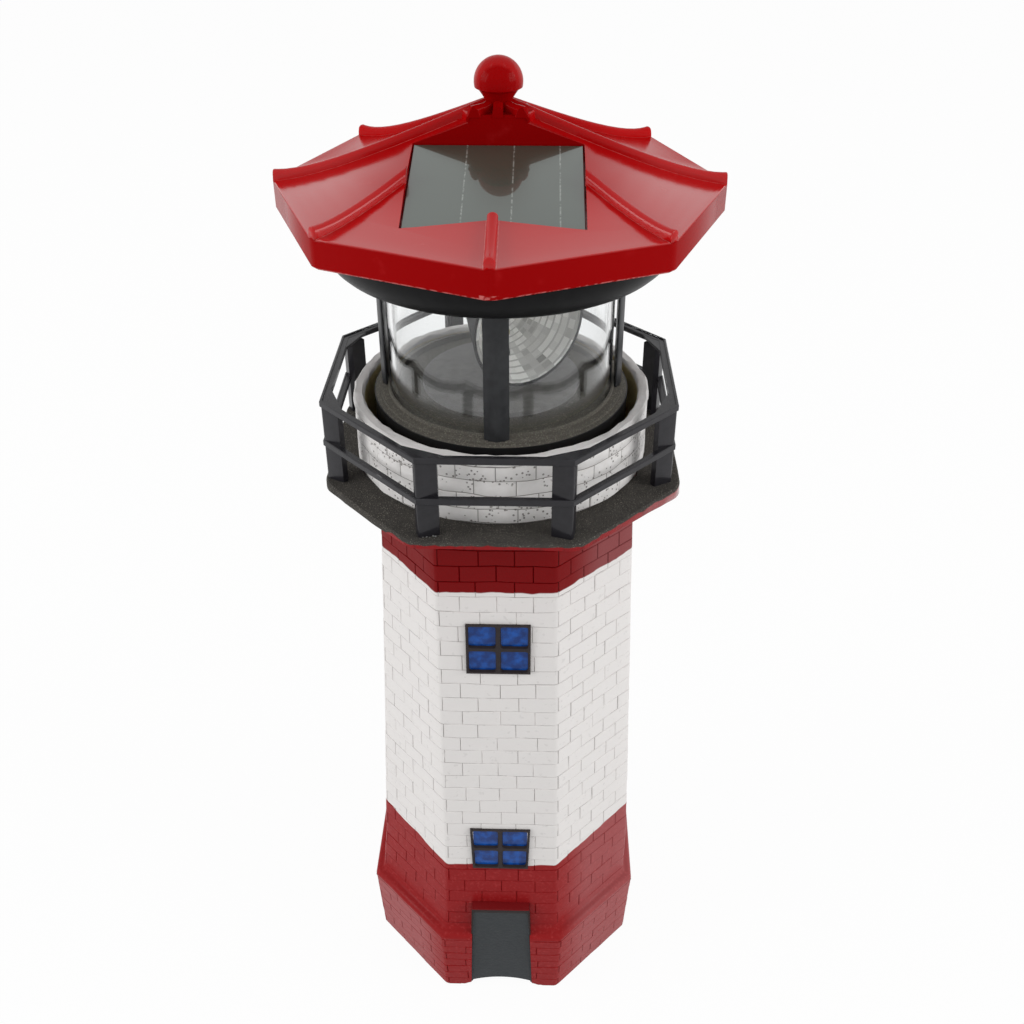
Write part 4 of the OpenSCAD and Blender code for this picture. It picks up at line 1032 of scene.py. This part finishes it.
def look(shape):
    """Turns a shape from its own upright axis to where the reflector looks."""
    aim = Matrix.Rotation(DISH_TURN, 3, "Z") @ Matrix.Rotation(math.pi / 2, 3, "X")
    bmesh.ops.rotate(shape, verts=shape.verts, cent=(0, 0, 0), matrix=aim)
    bmesh.ops.translate(shape, verts=shape.verts, vec=DISH_SHIFT + Vector((0, 0, DISH_Z)))
    return shape


# %% Model the dish
DISH_EYE, DISH_T, DISH_RINGS, DISH_COLUMNS = 3.6, 0.8, 12, 36
COLUMN_ANGLE = 360 / DISH_COLUMNS
RISER, STEP_RISE = 0.25, 0.72
BLOCK_ANGLE, BLOCK_MEAN, BLOCK_RANGE, BLOCK_CHANCE = 30, 0.72, 0.3, 0.25


def dish():
    """Each ring is a flat step and a short riser. The rings are cut into blocks like a stamped mirror."""
    radii = [DISH_EYE + (DISH_R - DISH_EYE) * k / DISH_RINGS for k in range(DISH_RINGS + 1)]
    bowl = [(r, (DISH_FRONT + DISH_BACK) * (r / DISH_R) ** 2 - DISH_BACK) for r in radii]
    steps = []
    for (r0, z0), (r1, z1) in zip(bowl, bowl[1:]):
        steps += [(r0, z0), (r1 - RISER, z0 + (z1 - z0) * STEP_RISE)]
    steps.append((DISH_R, DISH_FRONT))
    back = [(DISH_R + DISH_T, DISH_FRONT)] + [(r + DISH_T, z) for r, z in reversed(bowl[1:-1])]
    shape = spun([(0, -DISH_BACK)] + steps + back + [(0, -DISH_BACK - DISH_T)], DISH_COLUMNS, ring=False)
    facet_reflection = shape.faces.layers.float.new("block")

    def place(face):
        """Ring, column and height of a face. Merging leaves the faces in another order each time."""
        centre = face.calc_center_median()
        turned = math.degrees(math.atan2(centre.y, centre.x))
        return sum(centre.xy.length > r for r in radii), math.floor(turned / COLUMN_ANGLE), centre.z

    # Every face gets a grey that is a painted reflection of a mirror facet; the faces at the ring edges get a middle
    # grey.
    for face in sorted(shape.faces, key=place):
        centre = face.calc_center_median()
        column = math.floor(math.degrees(math.atan2(centre.y, centre.x)) / BLOCK_ANGLE)
        row = sum(centre.xy.length > r for r in radii)
        if any(abs(centre.xy.length - (r - 0.12)) < 0.1 for r in radii):
            face[facet_reflection] = 0.5
        else:
            grey = BLOCK_MEAN + BLOCK_RANGE * math.sin(column * 2.4 + row * 0.5)
            face[facet_reflection] = min(1, max(0.1, grey + random.uniform(-BLOCK_CHANCE, BLOCK_CHANCE)))
    return look(shape)


def dish_paint():
    paint = Paint("plated_reflector")
    # The face greys are painted reflections, blended between dark grey and white.
    facet_reflection = paint.marked("block")
    paint.set(Base_Color=paint.blend(facet_reflection, linear(120, 118, 112), linear(255, 254, 250)),
              Roughness=0.2 + 0.25 * facet_reflection)
    return paint


# %% Model the housing and cut the post's hole
CONE_FOOT_R, CONE_FOOT_Z, CONE_T, CONE_LIP = 10, -8, 0.9, 3
HOLE_R, HOLE_Z, HOLE_L = 2.9, 253, 24


def housing():
    slope = (CONE_R - CONE_FOOT_R) / (DISH_FRONT - CONE_FOOT_Z)
    floor_z = CONE_FOOT_Z + CONE_T
    outside = [(CONE_FOOT_R, CONE_FOOT_Z), (CONE_R, DISH_FRONT), (CONE_R - CONE_T, DISH_FRONT)]
    lip = (CONE_R - CONE_T - slope * CONE_LIP, DISH_FRONT - CONE_LIP)
    inside = [lip, (CONE_FOOT_R - CONE_T, floor_z), (0, floor_z)]
    return look(spun([(0, CONE_FOOT_Z)] + outside + inside, 96, ring=False))


def post_hole():
    shape = bmesh.new()
    bmesh.ops.create_cone(shape, cap_ends=True, segments=31, radius1=HOLE_R, radius2=HOLE_R, depth=HOLE_L)
    bmesh.ops.translate(shape, verts=shape.verts, vec=(0, 0, HOLE_Z))
    return shape


mirror = piece("reflector_dish", dish(), "beacon", dish_paint(), ["reflector"])
cone = piece("reflector_cone", housing(), "beacon", CONE, ["reflector_housing"])
for made in (mirror, cone):
    cut_with(made, post_hole())
    print(made.name, "keeps", len(made.data.polygons), "faces")

# %% [markdown]
# ## The roof's paint
# The roof is glossy red plastic. Its faces get more gloss coat and a lighter red towards the eaves, and that lighter
# red is a painted sheen, while the edge, the panel's pocket and the foot of the ball stay a deeper red, which is
# painted shade. A pale line beside the ribs is a painted highlight, and a pale line in patches, with a gate mark at
# the front, runs along the lower rim. Every mask is a distance: from the middle, from the nearest rib, or from the
# eaves.

# %% Paint the roof
EAVE_Z, FASCIA_Z = 304.9, 313.2
SHEEN_FROM, BEHIND = (24, 50), (4, 20)
POCKET_SIDE, POCKET_BACK, POCKET_FRONT = (23.8, 24.1), (-5, -4), (-44.8, -44.3)
BALL_FOOT, BALL_HEAD = (334, 335), (338, 346)
RIB_EDGE, RIB_FOOT, BOSS_EDGE = (1.46, 1.5), (1.6, 1.85), (11, 12)
RIM_SIDE, GATE_SIDE, GATE_FRONT = (60, 60.5), (2.4, 2.8), (-63, -62)


def roof_paint():
    paint = Paint("red_gloss")
    depth, z = paint.axis("Y"), paint.axis("Z")
    x, y = paint.axis("X").size(), depth.size()
    small, big = x.least(y), x.most(y)
    to_rib = small.least((big - small) * math.sqrt(0.5))
    across = big * math.cos(EIGHTH) + small * math.sin(EIGHTH)
    above = paint.past(z, FASCIA_Z - 0.4, FASCIA_Z + 0.1)
    # Towards the eaves the roof gets more coat and a lighter red; the lighter red is a painted sheen.
    sheen = paint.past(across, *SHEEN_FROM)
    pocket = paint.until(x, *POCKET_SIDE) * paint.until(depth, *POCKET_BACK) * paint.past(depth, *POCKET_FRONT)
    outside_shade = 1 - pocket.most(paint.past(z, *BALL_FOOT) * paint.until(z, *BALL_HEAD))
    on_rib = paint.until(to_rib, *RIB_EDGE)
    coat = above * (0.3 + 0.7 * sheen) * (1 - 0.9 * paint.past(depth, *BEHIND)) * outside_shade * (1 - 0.6 * on_rib)
    # A thin pale line beside each rib's foot: a painted highlight.
    foot = paint.until(to_rib, *RIB_FOOT) * (1 - on_rib) * (1 - pocket) * above * paint.past(across, *BOSS_EDGE)
    rim = paint.until(z, EAVE_Z + 0.3, EAVE_Z + 0.6) * paint.past(across, *RIM_SIDE)
    gate = rim.most(paint.until(x, *GATE_SIDE) * paint.until(z, EAVE_Z + 1.2, EAVE_Z + 1.4)
                    * paint.until(depth, *GATE_FRONT))
    wear_and_highlight = paint.step(paint.grain(0.6, 4.0), 0.4, 0.62)
    scuff = paint.step(paint.grain(0.12, 6.0), 0.62, 0.78)
    # Top faces get a lighter red towards the eaves, a painted sheen; the fascia, the pocket and the ball's foot keep
    # the deeper red as painted shade.
    red = paint.blend(above * (0.5 + 0.5 * sheen) * outside_shade, linear(154, 3, 5), linear(188, 9, 12))
    red = paint.blend(scuff * 0.3, red, linear(190, 40, 42))
    # The pale line beside the ribs is a painted highlight; the pale line along the lower rim and the gate mark are
    # pale marks in patches.
    red = paint.blend(foot * (0.3 + 0.3 * wear_and_highlight) + gate * wear_and_highlight * 0.7, red, linear(222, 130, 126))
    paint.set(Base_Color=red, Roughness=0.2 + 0.12 * scuff + 0.1 * foot, Coat_Weight=0.015 + coat,
              Coat_Roughness=0.15, Coat_IOR=1.62, Specular_IOR_Level=0.02,
              Normal=paint.bump(paint.grain(0.06), 0.25, 0.3))
    return paint


RED_GLOSS = roof_paint()

# %% [markdown]
# ## The roof's body
# Eight faces flatten towards the eaves over an upright edge, and a flat boss in the middle carries the ball. The
# body is spun with eight steps from a profile whose slope is a formula, and its upright corners are cut flat, as
# wide as a rib. A pocket is cut for the solar panel with a tilted box, made from the panel's own sizes.

# %% Model the roof's body
PITCH, FLARE, FLARE_L, BOSS_R, BOSS_FROM = 0.44, 6.1, 18.0, 10.6, 5.5
PANEL_W, PANEL_L, PANEL_T = 47.4, 40.2, 2.5
PANEL_TILT = math.radians(14.6)
PANEL_BACK = -high("solar_panel", 1)
PANEL_TOP = high("solar_panel", 2)
POCKET_GAP, RIB_GAP, POCKET_H = 0.45, 0.25, 60


def roof_z(r):
    return FASCIA_Z + PITCH * (ROOF_R - r) - FLARE * (1 - math.exp((r - ROOF_R) / FLARE_L))


def panel_space(margin, below, above):
    """A tilted box over the panel's bed, measured from the panel's face."""
    shape = block((PANEL_W + 2 * margin, PANEL_L + 2 * margin, below + above), (0, -PANEL_L / 2, (above - below) / 2))
    turn(shape, PANEL_TILT, "X")
    bmesh.ops.translate(shape, verts=shape.verts, vec=(0, -PANEL_BACK, PANEL_TOP))
    return shape


def roof_body():
    core = [(0, 305.5), (50.5, 305.5), (53, 311.8), (63.4, 310.6), (63.4, EAVE_Z)]
    edge = [(65.8, EAVE_Z), (66.2, EAVE_Z + 0.4), (66.2, FASCIA_Z - 0.3), (65.9, FASCIA_Z + 0.05)]
    slope = [(r, roof_z(r)) for r in (64, 61.5, 58, 53, 47, 40, 30, 20, BOSS_R + 0.3)]
    boss_z = roof_z(BOSS_FROM)
    shape = spun(core + edge + slope + [(BOSS_R, boss_z - 0.3), (BOSS_R - 0.3, boss_z), (0, boss_z)], 8, ring=False)
    soften(shape, corner_edges(shape, 65, 0.6), 1.3, 1)
    return shape


roof = piece("roof_body", roof_body(), "lamp", RED_GLOSS, ["roof_shell"], smooth=28)
cut_with(roof, panel_space(POCKET_GAP, PANEL_T, POCKET_H))

# %% [markdown]
# ## The ribs
# The ribs are bars with a round top that follow the corner lines of the roof and curl up at the eaves. A rib's
# section is extruded step by step along the slope, because each step can then rise by the roof's own formula. The
# three front ribs stand a little higher on the boss, and the panel's pocket cuts them short.

# %% Model a rib
RIB_W, RIB_H, RIB_CURL, CURL_L = 2.9, 2.3, 0.8, 4
RIB_START, RIB_END = 2.5, ROOF_R - 0.35
FRONT_RIBS = (5, 6, 7)


def rib_z(r, front):
    return max(roof_z(r), roof_z(BOSS_FROM) + 0.3) if front and r < BOSS_R else roof_z(r)


def rib(front):
    half = RIB_W / 2
    arc = [(-half * math.cos(a), RIB_H - half + half * math.sin(a)) for a in [math.pi * k / 10 for k in range(11)]]
    section = [(-half, -1)] + arc + [(half, -1)]
    shape = bmesh.new()
    face = shape.faces.new([shape.verts.new((RIB_START, y, rib_z(RIB_START, front) + z)) for y, z in section])
    reach = [RIB_START, BOSS_FROM, 7, BOSS_R - 0.2, BOSS_R + 0.2]
    reach += [BOSS_R + (RIB_END - BOSS_R) * (1 - (1 - k / 12) ** 1.5) for k in range(1, 13)]
    for r0, r1 in zip(reach, reach[1:]):
        made = bmesh.ops.extrude_face_region(shape, geom=[face])["geom"]
        if face.is_valid and r0 > RIB_START:
            bmesh.ops.delete(shape, geom=[face], context="FACES_ONLY")
        face = next(g for g in made if isinstance(g, bmesh.types.BMFace))
        rise = [rib_z(r, front) + RIB_CURL * math.exp((r - ROOF_R) / CURL_L) for r in (r0, r1)]
        bmesh.ops.translate(shape, verts=list(face.verts), vec=(r1 - r0, 0, rise[1] - rise[0]))
    bmesh.ops.recalc_face_normals(shape, faces=shape.faces)
    end = max(shape.faces, key=lambda f: f.calc_center_median().x)
    soften(shape, [e for e in end.edges if abs(e.calc_length() - 0.45) < 0.1], 0.4, 2)
    return shape


for corner in range(8):
    shape = turn(rib(corner in FRONT_RIBS), corner * math.pi / 4, "Z")
    bar = piece(f"roof_rib_{corner}", shape, "lamp", RED_GLOSS, ["roof_shell"])
    if corner in FRONT_RIBS:
        cut_with(bar, panel_space(RIB_GAP, PANEL_T, POCKET_H))

# %% [markdown]
# ## The ball
# The ball was moulded in two halves, which shows as a fine line below its middle. A tapering cup and a flared neck
# carry it. The whole finial is one turned profile, so it is spun like the drum.

# %% Model the ball
BALL_R = 6.9
BALL_Z = high("finial", 2) - BALL_R - 0.4


def ball():
    top = [(BALL_R * math.cos(a), BALL_R * math.sin(a)) for a in [math.radians(d) for d in range(84, -13, -6)]]
    line = [(6.45, -1.6), (6.1, -1.75)]
    cup = [(5.6, -2.2), (4.8, -3.3), (3.9, -4.7), (3.4, -5.8), (3.2, -6.8), (3.4, -8.2), (4.2, -9.6)]
    profile = [(0, BALL_R)] + top + line + cup + [(0, -9.8)]
    return spun([(r, BALL_Z + z) for r, z in profile], 64, ring=False)


piece("ball", ball(), "lamp", RED_GLOSS, ["finial"], smooth=50)

# %% [markdown]
# ## The solar panel
# The cell lies under a mirror-smooth cover. Seen from the camera it is grey-green, with three silvery lines where
# its strips meet. The panel is the same tilted box that cuts its pocket, without the gap, and the lines are painted.

# %% Model the panel
STRIP_LINES, LINE_EDGE = (-8.6, 4.5, 17.3), (0.1, 0.3)


def panel_paint():
    paint = Paint("solar_cell")
    x = paint.axis("X")
    lines = 0.0
    for place in STRIP_LINES:
        lines = paint.until((x - place * MM).size(), *LINE_EDGE) + lines
    cell = paint.blend(paint.grain(0.05), linear(50, 62, 54), linear(62, 74, 64))
    broken = paint.step(paint.grain(0.8, 3.0), 0.35, 0.6)
    paint.set(Base_Color=paint.blend(lines * broken * 0.7, cell, linear(150, 156, 150)), Roughness=0.3,
              Coat_Weight=1.0, Coat_Roughness=0.02, Coat_IOR=1.6)
    return paint


panel = panel_space(0, PANEL_T, 0)
soften(panel, panel.edges[:], 0.12, 1)
piece("solar_panel_sheet", panel, "lamp", panel_paint(), ["solar_panel"])

# %% [markdown]
# ## What stays as CAD
# The pieces inside keep their CAD meshes, which are already right, and get a finish by the record's slot. The lamp
# base is one of them: its top is a dusty grey, which is dust and also painted light from above, and its skirt is
# black, which is also painted shade in the socket.

# %% Finish the CAD pieces
def dusty_lit_black():
    paint = Paint("dusty_lit_black")
    # The top is dusty grey, which is dust and also painted light from above; the black skirt is also painted shade in
    # the socket.
    top = paint.past(paint.axis("Z"), DISC_Z - 4, DISC_Z - 2) \
        * paint.until(paint.radius(), DISC_R - 0.45, DISC_R - 0.25)
    dust_and_light = paint.blend(paint.step(paint.grain(2.4, 3.0), 0.5, 0.7), linear(98, 95, 88), linear(138, 134, 124))
    paint.set(Base_Color=paint.blend(top, linear(30, 30, 32), dust_and_light), Roughness=0.45 + 0.2 * top,
              Specular_IOR_Level=0.2, Normal=paint.bump(paint.grain(2.0, 3.0), 0.08, 0.5))
    return paint


FINISHES = {
    "black_plastic": BLACK, "dark_plastic": CONE, "grey_plastic": GREY, "painted_casting": CASTING,
    "dark_rail": RAIL, "red_gloss": RED_GLOSS,
    "white_nylon": plain("white_nylon", linear(226, 224, 216), 0.5),
    "zinc_steel": plain("zinc_steel", linear(186, 186, 188), 0.3, 1.0),
    "motor_can": plain("motor_can", linear(170, 170, 172), 0.25, 1.0),
    "cell_sleeve": plain("cell_sleeve", linear(40, 120, 74), 0.3, coat=0.4),
    "board_green": plain("board_green", linear(22, 84, 48), 0.4, coat=0.3),
    "red_insulation": plain("red_insulation", linear(170, 24, 24), 0.4),
    "black_insulation": plain("black_insulation", linear(30, 30, 32), 0.4),
    "led_resin": plain("led_resin", linear(236, 226, 178), 0.2, coat=0.5),
}
DUSTY_LIT = dusty_lit_black()
for row in frame["record"]["subparts"]:
    made = frame["nodes"][row["node"]]
    if not made.hide_render:
        made.data.materials.clear()
        made.data.materials.append((DUSTY_LIT if row["node"] == "lamp_base" else FINISHES[row["material_slot"]]).material)
        print("kept", row["node"], row["material_slot"])

# %% [markdown]
# ## Floor and light
# A pale floor and a white surround. The camera, and rays that bounce off gloss or pass through the lens, see plain
# white. What lights the object is a softer surround and two wide lamps, one high at each side, so that the front is
# a little darker than the sides, as in the photograph.

# %% Light the set
SOFT_LIGHT, FLOOR_SEEN = 0.52, 0.96
FLOOR_HALF = 3
LAMP_SIZE, LAMP_WATTS, LAMP_AIM = 0.9, 11, (0, 0, 0.2)
LAMPS = {"left": (-1.45, -0.45, 0.85), "right": (1.45, -0.45, 0.85)}


def seen(nodes):
    """1 for the rays that come from the camera, off gloss or through the lens."""
    first, glossy, through = (nodes.node("ShaderNodeLightPath", out=f"Is {kind} Ray")
                              for kind in ("Camera", "Glossy", "Transmission"))
    return first.most(glossy).most(through)


def set_world():
    world = bpy.data.worlds.new("surround")
    world.use_nodes = True
    nodes = Nodes(world.node_tree)
    back = world.node_tree.nodes["Background"]
    level = nodes.node("ShaderNodeMapRange", {}, {"Value": seen(nodes), "To Min": SOFT_LIGHT, "To Max": 1.0})
    nodes.join(back.inputs["Strength"], level)
    nodes.join(back.inputs["Color"], (1, 1, 1, 1))
    bpy.context.scene.world = world


def floor_paint():
    paint = Paint("floor")
    paint.set(Base_Color=(0.85, 0.85, 0.85, 1), Roughness=0.9)
    lit, glow = Value(paint, paint.shader.outputs[0]), paint.node("ShaderNodeEmission")
    mixed = paint.node("ShaderNodeMixShader", {}, {0: seen(paint) * FLOOR_SEEN, 1: lit, 2: glow})
    paint.join(paint.tree.nodes["Material Output"].inputs[0], mixed)
    return paint


def lamp(name, place):
    data = bpy.data.lights.new(name, "AREA")
    data.size, data.energy = LAMP_SIZE, LAMP_WATTS
    made = bpy.data.objects.new(name, data)
    made.location = place
    made.rotation_euler = (Vector(LAMP_AIM) - Vector(place)).to_track_quat("-Z", "Y").to_euler()
    bpy.context.collection.objects.link(made)
    print("lamp", name, LAMP_WATTS, "W")


set_world()
ground = bmesh.new()
bmesh.ops.create_grid(ground, x_segments=1, y_segments=1, size=FLOOR_HALF)
floor_mesh = bpy.data.meshes.new("floor")
ground.to_mesh(floor_mesh)
floor = bpy.data.objects.new("floor", floor_mesh)
bpy.context.collection.objects.link(floor)
floor_mesh.materials.append(floor_paint().material)
for name, place in LAMPS.items():
    lamp(name, place)
